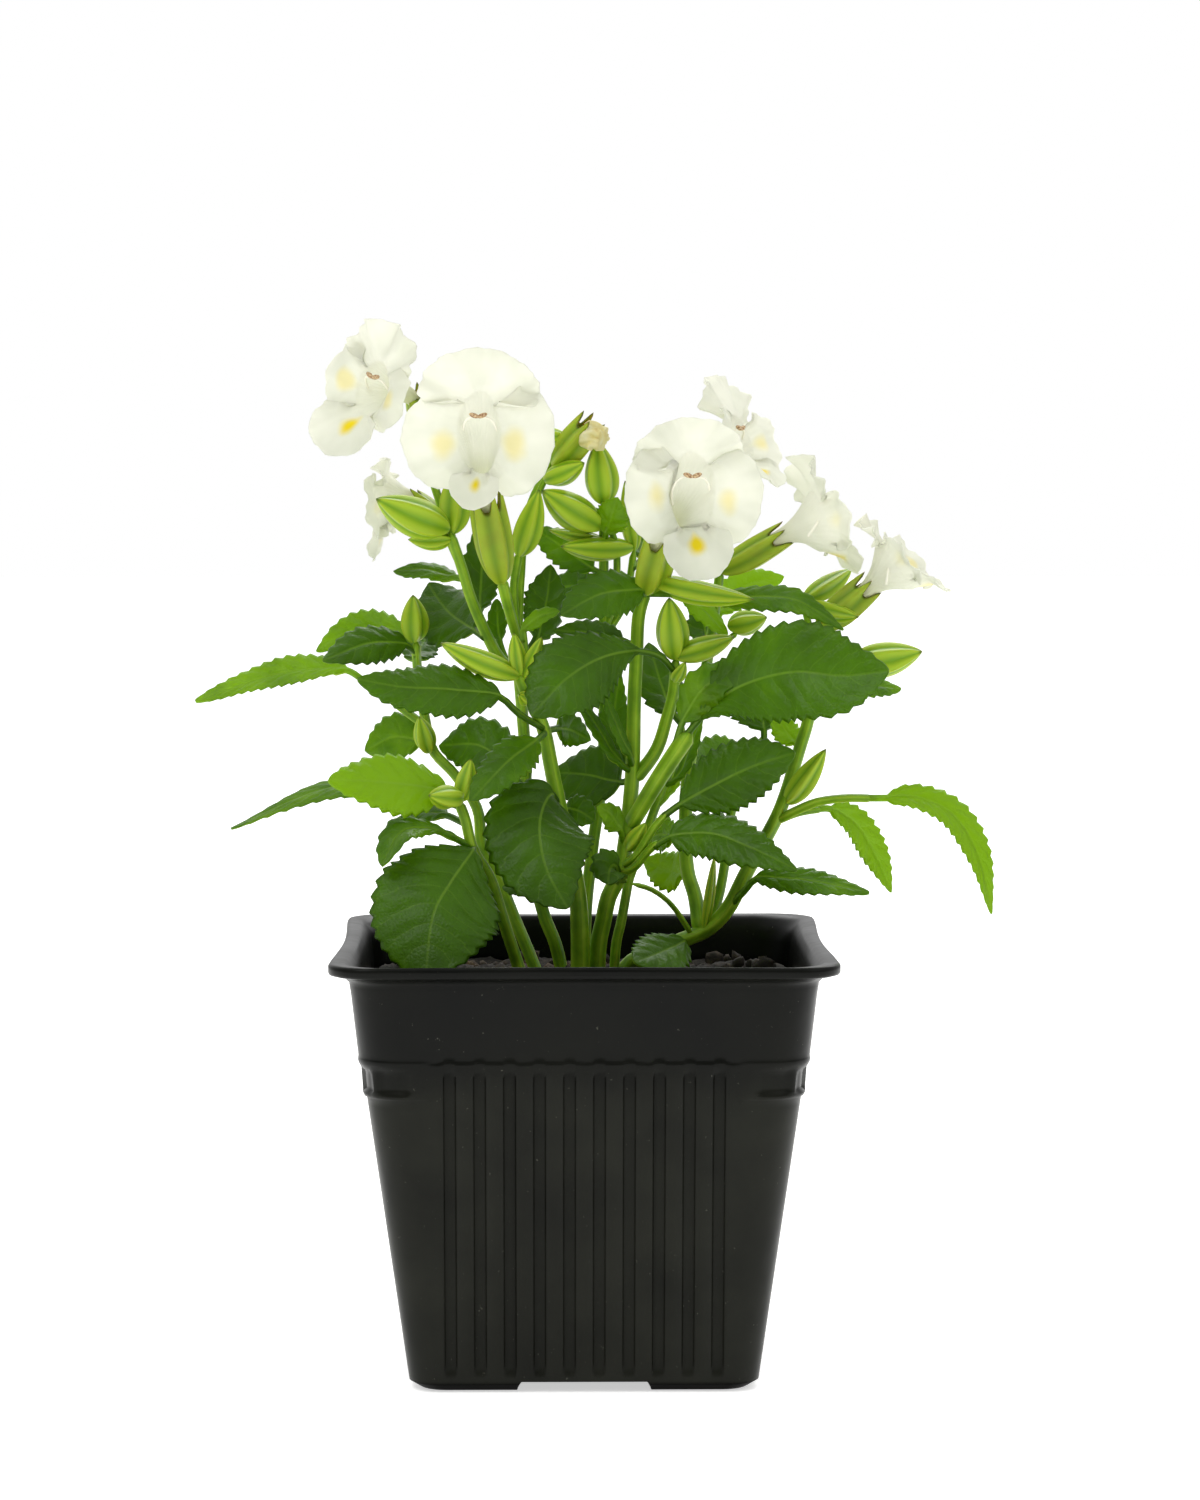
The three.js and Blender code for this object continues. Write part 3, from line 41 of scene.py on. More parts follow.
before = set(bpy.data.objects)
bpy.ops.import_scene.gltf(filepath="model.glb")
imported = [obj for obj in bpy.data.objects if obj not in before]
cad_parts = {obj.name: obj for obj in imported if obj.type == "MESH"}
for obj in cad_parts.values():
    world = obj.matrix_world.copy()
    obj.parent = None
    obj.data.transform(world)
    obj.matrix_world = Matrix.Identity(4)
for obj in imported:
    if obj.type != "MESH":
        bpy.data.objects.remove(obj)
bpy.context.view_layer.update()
MM = 0.001

# The plant is laid out as it is seen from the front by an eye at EYE: [x, z, depth] gives where a point
# shows on the upright plane through the pot's middle, and how far behind that plane (or, when negative,
# before it) it lies.
EYE = np.array([-7.0, -850.0, 182.9])

# The camera stands at EYE: lens and sensor in millimetres, and how far it looks down and right in degrees
LENS = 100.2
SENSOR = 36
LOOK_DOWN = 3.89
LOOK_RIGHT = 0.71

# The height where stems start, half a leaf stalk's thickness and the depth of a leaf's teeth, in millimetres
ROOT_Z = 66
STALK_HALF = 0.7
TOOTH_DEPTH = 0.9

# Layout of the plant
STEMS = {
  "stem_left_front": {
    "shoots": [
      [[[-9.5, ROOT_Z, -10], [-13, 80, -11], [-16.2, 90, -14], [-19, 99, -17], [-22.5, 105, -19],
        [-24, 111, -20], [-25.5, 115, -20]], 1.3, 1],
    ],
    "leaves": [
      {"stalk": [[-22.5, 105, -19]], "blade": [[-22.5, 104.5, -21], [-27, 98, -29], [-30.5, 91.5, -34],
        [-32.3, 77, -39]], "width": 26.5, "turn": 10, "teeth": 8, "cup": -0.16, "fullest": 0.5},
      {"stalk": [[-22.5, 105, -19]], "blade": [[-26, 107, -21], [-31, 109, -24], [-37, 108.4, -28],
        [-41, 101.2, -32]], "width": 5, "turn": 55, "cup": 0.1, "teeth": 4, "fullest": 0.68},
      {"stalk": [[-24, 110, -19]], "blade": [[-28, 111.8, -15], [-33, 112.2, -10], [-38.8, 110.3, -6]],
        "width": 2.6, "turn": 66, "teeth": 3},
      {"stalk": [[-25.5, 114.5, -20]], "blade": [[-28, 116.5, -21], [-40, 118.5, -27], [-52, 119, -32]],
        "width": 11.5, "turn": 35, "teeth": 5},
      {"stalk": [[-25, 113.5, -20]], "blade": [[-30, 115, -16], [-42, 117, -12], [-52, 117.3, -9],
        [-72, 109, -7]], "width": 3, "turn": 74, "teeth": 6, "cup": -0.08},
    ],
    "buds": [
      [[-24.5, 115.5, -21], [-31.5, 115.8, -28], 5.2],
      [[-25, 114.5, -20], [-22.8, 123.3, -18], 4.6],
    ],
 },
  "stem_left_back": {
    "shoots": [
      [[[-5.5, ROOT_Z, 1], [-9.7, 80, 3], [-13.7, 90, 6], [-16.5, 97, 8], [-20.5, 105, 10],
        [-21.5, 113, 12], [-26, 120, 14], [-30.5, 125, 16], [-32, 131, 16], [-33.5, 140, 15],
        [-34, 147.5, 12]], 1.3, 0.9],
      [[[-32, 130, 16], [-36, 133, 17], [-41, 137, 18], [-46, 140, 20]], 0.9, 0.8],
    ],
    "leaves": [
      {"stalk": [[-44, 138.8, 19.5]], "blade": [[-48, 141.4, 21], [-58, 141.4, 25], [-68, 139, 28],
        [-79, 135, 29]], "width": 5.8, "turn": 52, "teeth": 7, "cup": 0.1},
      {"stalk": [[-31, 127, 16]], "blade": [[-33, 127, 18], [-38.5, 127.8, 21], [-44.3, 124.8, 24]],
        "width": 10.5, "turn": 25, "teeth": 4},
      {"stalk": [[-33.8, 145, 13]], "blade": [[-36, 146.5, 12], [-43, 147, 8], [-53, 143.3, 3]], "width": 8,
        "turn": 40, "teeth": 4},
      {"stalk": [[-33.8, 144, 13]], "blade": [[-37, 149, 17], [-43, 150.3, 20], [-49, 148.7, 23],
        [-54.3, 145.2, 24]], "width": 8, "turn": 30, "teeth": 5},
      {"stalk": [[-33.5, 141, 14]], "blade": [[-34, 143.5, 19], [-33, 146, 24], [-31.5, 149, 29]],
        "width": 7, "turn": 30, "teeth": 3},
    ],
    "buds": [
      [[-31.3, 124.5, 15], [-33.3, 132, 12], 4.8],
      [[-34.3, 147, 12], [-34.5, 156.8, 11], 6.4],
    ],
 },
  "stem_mid_left": {
    "shoots": [
      [[[-2, ROOT_Z, -0.7], [-5.5, 85, -2.5], [-7.5, 90, -2], [-9.2, 96, -1], [-11, 105, 2],
        [-11.8, 115, 5], [-11.6, 122, 6], [-12.5, 135, 6], [-13, 141, 4], [-13, 148.5, 0]], 1.3, 1.1],
      [[[-13, 140, 4], [-17, 144, 4], [-19, 147.5, 3], [-22.7, 156, 0], [-24.5, 162, -2],
        [-27, 169.5, -4]], 1.2, 1],
      [[[-13, 147, 1], [-14.5, 152, -3], [-16.5, 160, -8]], 1, 1.2],
      [[[-13, 147, 1], [-14, 158, 3], [-12.8, 166, 3]], 0.8, 0.8],
      [[[-13, 147, 1], [-12.5, 160, 7], [-11, 174, 10], [-6, 184.5, 9]], 0.7, 0.7],
      [[[-11, 173, 10], [-7.5, 180.5, 8]], 0.6, 0.6],
      [[[-25, 163, -2], [-27.5, 169, 4], [-29, 173, 9]], 0.8, 0.9],
      [[[-26, 167, -3], [-28.5, 174, 1], [-31.5, 184, 3], [-32.5, 191, 3]], 0.8, 0.8],
    ],
    "leaves": [
      {"stalk": [[-24, 160, -1]], "blade": [[-26, 160.3, 2], [-32, 162, 5], [-38.5, 161.5, 8]],
        "width": 3.5, "turn": 58, "teeth": 3},
      {"stalk": [[-20, 148, 2]], "blade": [[-22, 149.5, 7], [-27.5, 153.5, 17.5], [-31.5, 159, 25]],
        "width": 15, "turn": 20, "teeth": 5, "fullest": 0.5},
      {"stalk": [[-21, 151, 2]], "blade": [[-21, 154, 6], [-20.5, 163, 11], [-20, 172, 14]], "width": 8.5,
        "turn": 15, "teeth": 4},
      {"stalk": [[-11.8, 118, 5]], "blade": [[-15, 121.5, 8], [-21, 126, 13], [-29.3, 126, 19]],
        "width": 12.5, "turn": 25, "teeth": 5},
      {"stalk": [[-9.2, 96, -1]], "blade": [[-11, 97, 0], [-16.5, 97, 2.5]], "width": 3, "turn": 50,
        "teeth": 2},
      {"stalk": [[-13, 143, 3]], "blade": [[-9.5, 148, 7], [-7.5, 155, 9], [-6.5, 163, 9]], "width": 9.5,
        "turn": 35, "teeth": 4},
      {"stalk": [[-15, 142, 4]], "blade": [[-17, 147.5, 7], [-17.5, 156, 7]], "width": 4.5, "turn": 30,
        "teeth": 2},
    ],
    "buds": [
      [[-26.5, 168, -4], [-35.5, 168, -2], 4.2],
      [[-27, 170, -4.5], [-42, 176.3, -9], 8.5],
      [[-26.5, 169, -3], [-26, 181.7, 2], 7],
      [[-13, 164.5, 3], [-8.8, 178.2, 0], 6.2],
      [[-7.8, 180, 8], [0.4, 183.6, 3], 5.2],
      [[-3.6, 189, 7.5], [-10.8, 189.4, 8], 3.6],
    ],
    "cups": [
      [[-16.5, 159, -8], [-19.5, 175, -13], 8.6],
      [[-6, 182.8, 9], [1, 190.6, 5], 7.6],
      [[-29, 172.5, 9], [-34, 176, 13], 5.6],
      [[-32.5, 190, 4], [-33.5, 197.5, 1], 6],
    ],
 },
  "stem_centre": {
    "shoots": [
      [[[-0.4, ROOT_Z, -5.5], [-1, 95, -7], [-3, 105, -7.5], [-4.5, 112, -8], [-6.5, 122, -8],
        [-8, 129.5, -8], [-10, 134, -9], [-12, 138, -10], [-13, 141, -10]], 2, 1.2],
      [[[-12, 137.5, -10], [-11.5, 144, -9], [-12, 150, -7]], 0.6, 0.5],
    ],
    "leaves": [
      {"stalk": [[-8, 129.5, -9], [-13, 132.5, -11]], "blade": [[-17, 136, -14], [-27, 137.5, -17],
        [-37, 138, -19], [-46, 139.5, -20]], "width": 10.5, "turn": 38, "teeth": 6},
      {"stalk": [[-7.8, 128.5, -9]], "blade": [[-9.5, 127, -13], [-15, 123, -20], [-23, 114.5, -27]],
        "width": 8.5, "turn": 35, "teeth": 5},
      {"stalk": [[-4.8, 113.5, -8]], "blade": [[-6.5, 116, -12], [-8.8, 110, -20], [-7.5, 101, -25],
        [-3, 92.5, -28]], "width": 22.5, "turn": 8, "teeth": 7, "fullest": 0.4},
      {"stalk": [[-12, 147, -8]], "blade": [[-12, 149.5, -7], [-8.5, 152.5, -9], [-4.7, 153.5, -11]],
        "width": 3.4, "turn": 40, "teeth": 2},
      {"stalk": [[-7.5, 129, -8]], "blade": [[-5, 129.5, -3], [-2, 129, 2], [1.5, 127, 6]], "width": 7,
        "turn": 20, "teeth": 3},
      {"stalk": [[-4.2, 112, -7.5]], "blade": [[-3, 113, -6], [-0.5, 112.5, -4.5], [2.5, 110.5, -4]],
        "width": 7, "turn": 20, "teeth": 3},
    ],
    "buds": [
      [[-12.5, 140, -10], [-29, 147, -15], 5.5],
      [[-12.8, 140, -10], [-14, 149, -12], 4],
      [[-12, 139.5, -10], [-8.3, 148.3, -11], 4],
      [[-10.5, 135, -10], [-13, 136.5, -14], 3.2],
    ],
 },
  "stem_right_front": {
    "shoots": [
      [[[2.7, ROOT_Z, -2.6], [3.2, 85, -4], [4.2, 90, -4.5], [5.3, 95, -5], [7.5, 99.5, -5], [9, 108, -4],
        [10, 118, -3], [10.3, 125, -3], [10.5, 135, -2], [11, 145, -1], [11.5, 153, 0],
        [13, 158, 0]], 1.7, 1.2],
      [[[7.5, 99.5, -5], [10.5, 101, -8], [13.5, 104.5, -10], [16, 106.5, -11]], 0.9, 0.7],
      [[[8, 101, -5], [11, 103.5, -8], [14.5, 109, -9.5], [18, 113, -10]], 0.9, 0.7],
      [[[9.3, 109, -4], [12.3, 114, -6.5], [16, 120, -8.5], [22, 129, -10]], 1.5, 1.7],
      [[[10.2, 118.5, -3], [15, 125, -2], [17, 131, -1], [18.5, 137, 0], [19, 144, 0]], 1.3, 1],
      [[[13, 157, 0], [17, 165, 9], [21, 173, 14]], 0.8, 0.8],
    ],
    "leaves": [
      {"stalk": [[14.5, 105.2, -10.5]], "blade": [[18, 107.2, -11.5], [26, 108, -15], [34, 105.2, -19],
        [44, 100.3, -23]], "width": 9.5, "turn": 38, "teeth": 6, "fullest": 0.36},
      {"stalk": [[16.5, 111.5, -9.8]], "blade": [[20, 114, -10.5], [27, 118, -13], [35, 121.8, -16],
        [43.5, 124.5, -19]], "width": 14, "turn": 15, "teeth": 6, "fullest": 0.46},
      {"stalk": [[20, 126.5, -9.5]], "blade": [[23.5, 131, -11], [31, 137.5, -17], [43, 141, -24],
        [53, 140.2, -27], [62.7, 141.2, -29]], "width": 20, "turn": 18, "teeth": 9, "fullest": 0.58,
        "cup": 0.1},
      {"stalk": [[10, 119, -3]], "blade": [[7.5, 118.5, 0], [1, 120, 4], [-6, 120.5, 9]], "width": 13,
        "turn": 30, "teeth": 4},
      {"stalk": [[10.2, 120.5, -3]], "blade": [[7.5, 122.5, -5], [3.5, 129, -5], [-1.5, 136.5, -4]],
        "width": 3.2, "turn": 50, "teeth": 3},
      {"stalk": [[10.2, 121.5, -3]], "blade": [[9.5, 124, -6], [7, 130, -8], [4, 137, -8]], "width": 2.6,
        "turn": 55, "teeth": 3},
      {"stalk": [[18.8, 141, 0], [16, 144, -3]], "blade": [[12, 145.2, -6], [4, 144, -14],
        [-3.5, 139.5, -19], [-10.5, 132, -22]], "width": 16.5, "turn": 18, "teeth": 7, "fullest": 0.6},
      {"stalk": [[12.5, 156.5, 0]], "blade": [[12, 157.5, -3], [4, 157, -8], [-4.5, 152.5, -13]],
        "width": 10, "turn": 35, "teeth": 5},
      {"stalk": [[12.8, 157, 0], [20, 156.8, -4]], "blade": [[27, 155.8, -6], [35, 156.4, -9],
        [43, 155.8, -12], [49, 152.6, -14], [53.3, 149.5, -15]], "width": 5.5, "turn": 45, "teeth": 5},
      {"stalk": [[8.5, 106, -4.5]], "blade": [[7.5, 109, -8], [5.5, 112, -10], [3, 113.5, -11]], "width": 5,
        "turn": 40, "teeth": 2},
      {"stalk": [[12.8, 157, 0]], "blade": [[20, 157, 4], [25.5, 153, 6], [29.5, 148.5, 7]], "width": 5,
        "turn": 45, "teeth": 3},
      {"stalk": [[9.5, 121, -2]], "blade": [[8, 125, -1], [6.5, 132, 1], [7.5, 141, 3]], "width": 6.5,
        "turn": 20, "teeth": 4},
      {"stalk": [[7.5, 99.5, -5]], "blade": [[6.5, 101.5, -9], [5.5, 100.5, -14], [5.2, 97.5, -17]],
        "width": 9, "turn": 5, "teeth": 3},
      {"stalk": [[11, 146, -1]], "blade": [[8, 147.5, 1], [2, 149, 4], [-6, 149.5, 8]], "width": 6,
        "turn": 35, "teeth": 4},
      {"stalk": [[19, 126.5, -9.4]], "blade": [[20.5, 131, -10.5], [25, 138, -14.5], [33, 142.5, -18]],
        "width": 9, "turn": 18, "teeth": 3},
    ],
    "buds": [
      [[9, 104.5, -5], [13, 110.3, -8], 4],
      [[18.7, 143.5, 0], [17.6, 156.2, -3], 7.2],
      [[18.5, 144, 0], [31, 148.2, -2], 5.4],
      [[18.6, 139, 0], [21, 143, -4], 3],
      [[13, 160, 0], [34.9, 155.8, -13], 5.4],
    ],
    "cups": [
      [[12.8, 157, -1], [15.5, 167, -6], 8.5],
      [[21, 172.5, 14], [26, 180, 16], 6.5],
    ],
 },
  "stem_right_thin": {
    "shoots": [
      [[[6.2, ROOT_Z, -0.5], [6.8, 85, -1], [7.9, 90, -1], [8.8, 95, -0.5], [9.6, 99, 0], [12, 105, 1],
        [14, 111, 2], [15.5, 115, 3], [17, 119, 4], [19.5, 124, 6], [20.5, 130, 7]], 1, 0.8],
    ],
    "leaves": [
      {"stalk": [[16.5, 118, 4]], "blade": [[19, 119, 2], [22, 126, 0], [24.5, 133, 0]], "width": 3,
        "turn": 55, "teeth": 3},
      {"stalk": [[20.5, 130, 7]], "blade": [[18.5, 132.5, 8], [16, 138.5, 13], [13.5, 147, 19]],
        "width": 9.5, "turn": 30, "teeth": 4},
      {"stalk": [[15.5, 114, 2.8]], "blade": [[17.3, 116, 4], [18.8, 120, 6], [19.6, 125, 8]], "width": 3.4,
        "turn": 20, "teeth": 3},
    ],
 },
  "stem_centre_back": {
    "shoots": [
      [[[0.5, ROOT_Z, 5.5], [0.5, 90, 8], [2, 105, 10], [4, 120, 11], [4.3, 150, 12], [4.3, 163, 10],
        [4.3, 176, 8]], 1.3, 0.9],
      [[[4.3, 149, 12], [6.5, 156, 11], [6.5, 168, 9], [4, 172, 8]], 0.7, 0.7],
      [[[4.3, 148, 12], [8.5, 155, 13], [10.5, 166, 11]], 0.7, 0.7],
    ],
    "leaves": [
      {"stalk": [[4.3, 166, 9.5]], "blade": [[4.8, 169.5, 7], [5.8, 172.5, 4], [7.2, 176.5, 2]],
        "width": 7.5, "turn": 20, "teeth": 4},
      {"stalk": [[4.3, 161, 10]], "blade": [[2, 162, 12], [-4, 166.5, 14], [-10.5, 170.5, 16]], "width": 8,
        "turn": 20, "teeth": 4},
      {"stalk": [[10, 162, 11.5]], "blade": [[12, 164, 15], [15, 170, 22], [17, 176, 29]], "width": 8,
        "turn": 25, "teeth": 4},
      {"stalk": [[4.3, 157, 11.3]], "blade": [[2, 158, 14], [-2, 158.5, 18], [-7, 158, 22]], "width": 8,
        "turn": 20, "teeth": 3},
    ],
    "buds": [
      [[4.3, 175, 8], [3, 188, 7], 7.5],
      [[3.9, 170.4, 8], [-8.3, 178, 2], 7.8],
      [[10.4, 166.4, 11], [-4.5, 166.6, 2], 5.4],
      [[10.5, 165.5, 11], [8.6, 180, 12], 4.5],
      [[4.3, 168, 9], [-7, 170, 7], 3],
    ],
 },
  "stem_right": {
    "shoots": [
      [[[7, ROOT_Z, 3.5], [9, 80.5, 3], [16, 84, 1], [19, 85.5, 0], [25, 88, 0], [27, 89.5, -1],
        [30, 93, -2], [33, 99, -4], [36, 104.5, -6], [38.5, 109, -7], [40, 112, -8], [41.5, 116, -7],
        [43, 121, -5], [44.5, 126, -3], [46, 131, -2], [47, 138, -1], [48, 151, 0]], 1.7, 1],
      [[[24, 87.5, 0], [23, 95, 4], [21.5, 100, 7], [21, 108, 10], [21.5, 120, 13], [24, 135, 14],
        [26.5, 150, 11], [28, 162, 7]], 1.5, 0.9],
      [[[25, 88, 0], [27.5, 94, 2], [28.8, 100, 3], [30.3, 112, 5], [33, 120, 7], [37, 128, 8]], 1, 0.8],
      [[[22.5, 87, 0], [18, 93.5, -5], [14, 96.5, -9], [10, 97.7, -12]], 0.6, 0.5],
      [[[39.5, 110.5, -7.5], [44, 112.8, -11], [48, 114.4, -13], [54, 115.2, -16],
        [60, 115.1, -18]], 0.9, 0.8],
      [[[39.5, 110.5, -7.5], [44, 112.2, -6], [49, 113, -4]], 0.8, 0.7],
      [[[47, 138, -1], [51, 141, -2], [55, 142.5, -3]], 0.7, 0.7],
      [[[47.6, 146, 0], [46, 151, 1], [45, 155.5, 2]], 0.7, 0.7],
      [[[25.8, 146, 12], [28.5, 147, 10], [31.5, 149, 8]], 0.6, 0.6],
    ],
    "leaves": [
      {"stalk": [[20, 85.8, 0]], "blade": [[20.5, 85.6, -4], [16, 83.6, -12], [10.5, 81.4, -20]],
        "width": 6, "turn": 60, "teeth": 5},
      {"stalk": [[22, 98, 6]], "blade": [[20.5, 99.5, 10], [17.5, 100.5, 15], [12.5, 102.5, 20]],
        "width": 9, "turn": 20, "teeth": 4},
      {"stalk": [[30.5, 93.5, -2.5], [33, 96, -6]], "blade": [[35.5, 98.6, -8], [43, 98.7, -12],
        [51, 97.5, -15], [58.8, 95.7, -17]], "width": 5, "turn": 50, "teeth": 5},
      {"stalk": [[57, 115.2, -17]], "blade": [[62, 115.2, -18.5], [68, 115.4, -20], [75.6, 111.9, -21],
        [80.8, 103.6, -22], [83.8, 91.2, -22]], "width": 6.5, "turn": 40, "teeth": 8, "cup": 0.1},
      {"stalk": [[47, 112.8, -4.5]], "blade": [[50.5, 113, -3.5], [55.6, 110.2, -1], [60, 103.2, 1],
        [63.2, 95.7, 2]], "width": 6.8, "turn": 30, "teeth": 6, "cup": 0.1},
      {"stalk": [[37, 127, 8]], "blade": [[37, 129, 8], [36.5, 132, 10], [35.5, 136.5, 13], [34, 141, 16]],
        "width": 15, "turn": 10, "teeth": 5, "fullest": 0.48},
      {"stalk": [[44.5, 124, -3.5]], "blade": [[43.5, 126.5, -1], [41, 129.5, 2], [39, 132.5, 4]],
        "width": 6, "turn": 10, "teeth": 3},
      {"stalk": [[47, 136, -1]], "blade": [[50, 137.5, 2], [57, 138.5, 5], [65, 137.4, 8]], "width": 5,
        "turn": 50, "teeth": 4},
      {"stalk": [[21.5, 118, 12.5]], "blade": [[23, 121, 17], [28, 124, 24], [34, 124, 31]], "width": 9,
        "turn": 30, "teeth": 5},
      {"stalk": [[26, 148, 11.5]], "blade": [[28, 153, 14], [33, 158.5, 18], [41, 160.3, 22]], "width": 8,
        "turn": 25, "teeth": 5},
      {"stalk": [[21, 106, 9.3]], "blade": [[18.5, 107.2, 13], [15.5, 107.8, 17], [12, 106.5, 21]],
        "width": 8, "turn": 20, "teeth": 4},
      {"stalk": [[25.5, 144, 12.5]], "blade": [[25.3, 147, 15], [24.8, 150.5, 18], [24, 155, 20]],
        "width": 8, "turn": 20, "teeth": 3},
    ],
    "buds": [
      [[24.8, 88, -1], [27, 103.8, -3], 2.4],
      [[41.5, 114, -7.5], [49.7, 125.3, -12], 5.2],
      [[54.5, 142.5, -3], [69.3, 145.2, -6], 7.6],
      [[44.8, 155.4, 2], [54.8, 162, 12], 5],
      [[45.2, 155, 2], [56.3, 152.2, -8], 4.5],
      [[29.5, 150.3, 8], [37.6, 152.2, 6], 5.6],
    ],
    "cups": [
      [[48, 150, 0], [57.3, 157.6, -1], 7.5],
      [[28, 161.5, 7], [39.5, 168, 4], 6.8],
    ],
 },
}
BLOOMS = {
  "bloom_far_left": {
    "seat": [-33.2, 194.5, 2.2], "mouth": [-35, 197, 0.5], "throat": [-42.5, 198.5, -7],
    "yaw": -40, "pitch": 8, "roll": -14, "open": 4,
    "lobes": [
      {"at": -10, "half": 45, "reach": 11, "lean": -0.1, "steps": 4},
      {"at": 85, "half": 50, "reach": 14, "lean": 0.1, "steps": 6},
      {"at": 180, "half": 45, "reach": 13, "lean": -0.2, "steps": 5},
      {"at": 265, "half": 40, "reach": 15, "lean": 0.35, "steps": 4},
    ],
 },
  "bloom_left": {
    "seat": [-18, 167.5, -10.5], "mouth": [-19.7, 176, -13], "throat": [-21, 189.5, -19],
    "yaw": -6, "pitch": -6, "open": 4, "tall": 2,
    "lobes": [
      {"at": -12, "half": 56, "reach": 15.2, "lean": -0.12, "steps": 5, "breadth": 11},
      {"at": 88, "half": 44, "reach": 17, "lean": 0.15, "steps": 7, "breadth": 12},
      {"at": 192, "half": 56, "reach": 15.6, "lean": -0.12, "steps": 5, "breadth": 9.5},
      {"at": 266, "half": 22, "reach": 14.5, "lean": 0.4, "steps": 3, "breadth": 5},
    ],
 },
  "bloom_left_behind": {
    "seat": [-31, 174, 10.5], "mouth": [-34, 176, 13], "throat": [-39, 176, 18],
    "yaw": -100, "pitch": -8, "open": 3.8,
    "lobes": [
      {"at": -10, "half": 45, "reach": 11, "lean": 0.1, "steps": 4},
      {"at": 85, "half": 50, "reach": 9, "lean": 0.1, "steps": 5},
      {"at": 180, "half": 45, "reach": 11, "lean": 0.1, "steps": 4},
      {"at": 265, "half": 40, "reach": 12, "lean": 0.3, "steps": 4},
    ],
 },
  "bloom_right_behind": {
    "seat": [24, 176.5, 15.2], "mouth": [27, 181.5, 16.5], "throat": [32, 188, 20],
    "yaw": 60, "pitch": 20, "open": 4,
    "lobes": [
      {"at": -10, "half": 45, "reach": 11, "lean": 0.1, "steps": 4},
      {"at": 85, "half": 50, "reach": 15, "lean": -0.1, "steps": 6},
      {"at": 180, "half": 45, "reach": 11, "lean": 0.1, "steps": 4},
      {"at": 265, "half": 40, "reach": 12, "lean": 0.3, "steps": 4},
    ],
 },
  "bloom_right": {
    "seat": [14.2, 162, -3.6], "mouth": [15.8, 168, -6.5], "throat": [22.2, 177.5, -17],
    "yaw": 4, "pitch": -4, "open": 4.4, "tall": 1.75,
    "lobes": [
      {"at": -8, "half": 54, "reach": 14.2, "lean": -0.12, "steps": 5, "breadth": 9.8},
      {"at": 96, "half": 50, "reach": 15, "lean": 0.1, "steps": 7, "breadth": 11},
      {"at": 183, "half": 54, "reach": 13.6, "lean": -0.12, "steps": 5, "breadth": 9.8},
      {"at": 275, "half": 34, "reach": 17, "lean": 0.4, "steps": 4, "breadth": 7},
    ],
 },
  "bloom_far_right_tube": {
    "seat": [33.5, 164.8, 5.5], "mouth": [40.5, 168.5, 3.5], "throat": [48, 171.5, 1],
    "yaw": 105, "pitch": 12, "open": 4.4,
    "lobes": [
      {"at": -12, "half": 46, "reach": 10, "lean": 0.2, "steps": 4},
      {"at": 85, "half": 51, "reach": 14.5, "lean": -0.15, "steps": 6},
      {"at": 180, "half": 44, "reach": 10, "lean": 0.2, "steps": 4},
      {"at": 264, "half": 40, "reach": 12, "lean": 0.35, "steps": 4},
    ],
 },
  "bloom_far_right": {
    "seat": [53, 154, -0.6], "mouth": [57.5, 157.5, -1.3], "throat": [64, 163, -3],
    "yaw": 80, "pitch": 38, "open": 4.3,
    "lobes": [
      {"at": -12, "half": 46, "reach": 10.5, "lean": 0.2, "steps": 4},
      {"at": 85, "half": 51, "reach": 12, "lean": 0, "steps": 6},
      {"at": 180, "half": 44, "reach": 10.5, "lean": 0.2, "steps": 4},
      {"at": 264, "half": 40, "reach": 11, "lean": 0.3, "steps": 4},
    ],
 },
}
WITHERED = [[-2.5, 186.8, 6.6], [0, 188.2, 4.8], [2.2, 188.8, 3.4], [4.3, 188.4, 2.2]]
WITHERED_RADII = [1, 1.5, 3, 2.2]

# How light each leaf is painted, in the layout's order, as painted light and shade: 0 is a leaf in shade,
# dark and bluish, 1 a leaf lit from behind, bright and yellowish.
LEAF_TONES = {
    "stem_left_front": [0.16, 0.35, 0.3, 0.75, 0.4],
    "stem_left_back": [0.6, 0.4, 0.1, 0.55, 0.1],
    "stem_mid_left": [0.4, 0.1, 0.1, 0.2, 0.15, 0.1, 0.3],
    "stem_centre": [0.2, 0.3, 0.08, 0.5, 0.2, 0.2],
    "stem_right_front": [0.25, 0.1, 0.26, 0.1, 0.3, 0.3, 0.15, 0.25, 0.4, 0.5, 0.7, 0.3, 0.1, 0.15, 0.4],
    "stem_right_thin": [0.4, 0.1, 1.0],
    "stem_centre_back": [0.55, 0.3, 0.25, 0.15],
    "stem_right": [0.25, 0.95, 0.3, 0.85, 0.8, 0.12, 0.8, 0.45, 0.4, 0.9, 0.5, 0.05],
}

# How finely the pieces are drawn: stations along them and columns around them
STEPS = 24
STEM_COLUMNS = 16
STALK_RINGS = 6
LEAF_COLUMNS = 21
CALYX_COLUMNS = 50
CUP_RINGS = 24
CUP_INNER_RINGS = 8
BUD_RINGS = 32
LOBE_COLUMNS = 9
LOBE_RINGS = 32
TUBE_RINGS = 20

# What the leaves, stems, calyces and blooms have in common: lengths in millimetres,
# the turn of a lobe's rim in degrees, the rest as shares
STEM_STATION = 1.6
SQUARENESS = 0.1
BLADE_HALF = 0.22
TOOTH_PEAK = 0.75
VEIN_GAP = 4.2
CUP_PEAK = 0.72
BUD_PEAK = 0.372
TALL = 1.35
TUBE_MOUTH = 1.4
TUBE_FOOT = 0.8
TUBE_SHARE = 0.62
SINUS = 2.2
PETAL_THICKNESS = 0.25
RIM_TURN = 116
THREAD_STOPS = [[0.8, -0.35, -4], [0.85, 0.05, -1.5], [0.6, 0.35, 0.3], [0.12, 0.46, 0.9]]


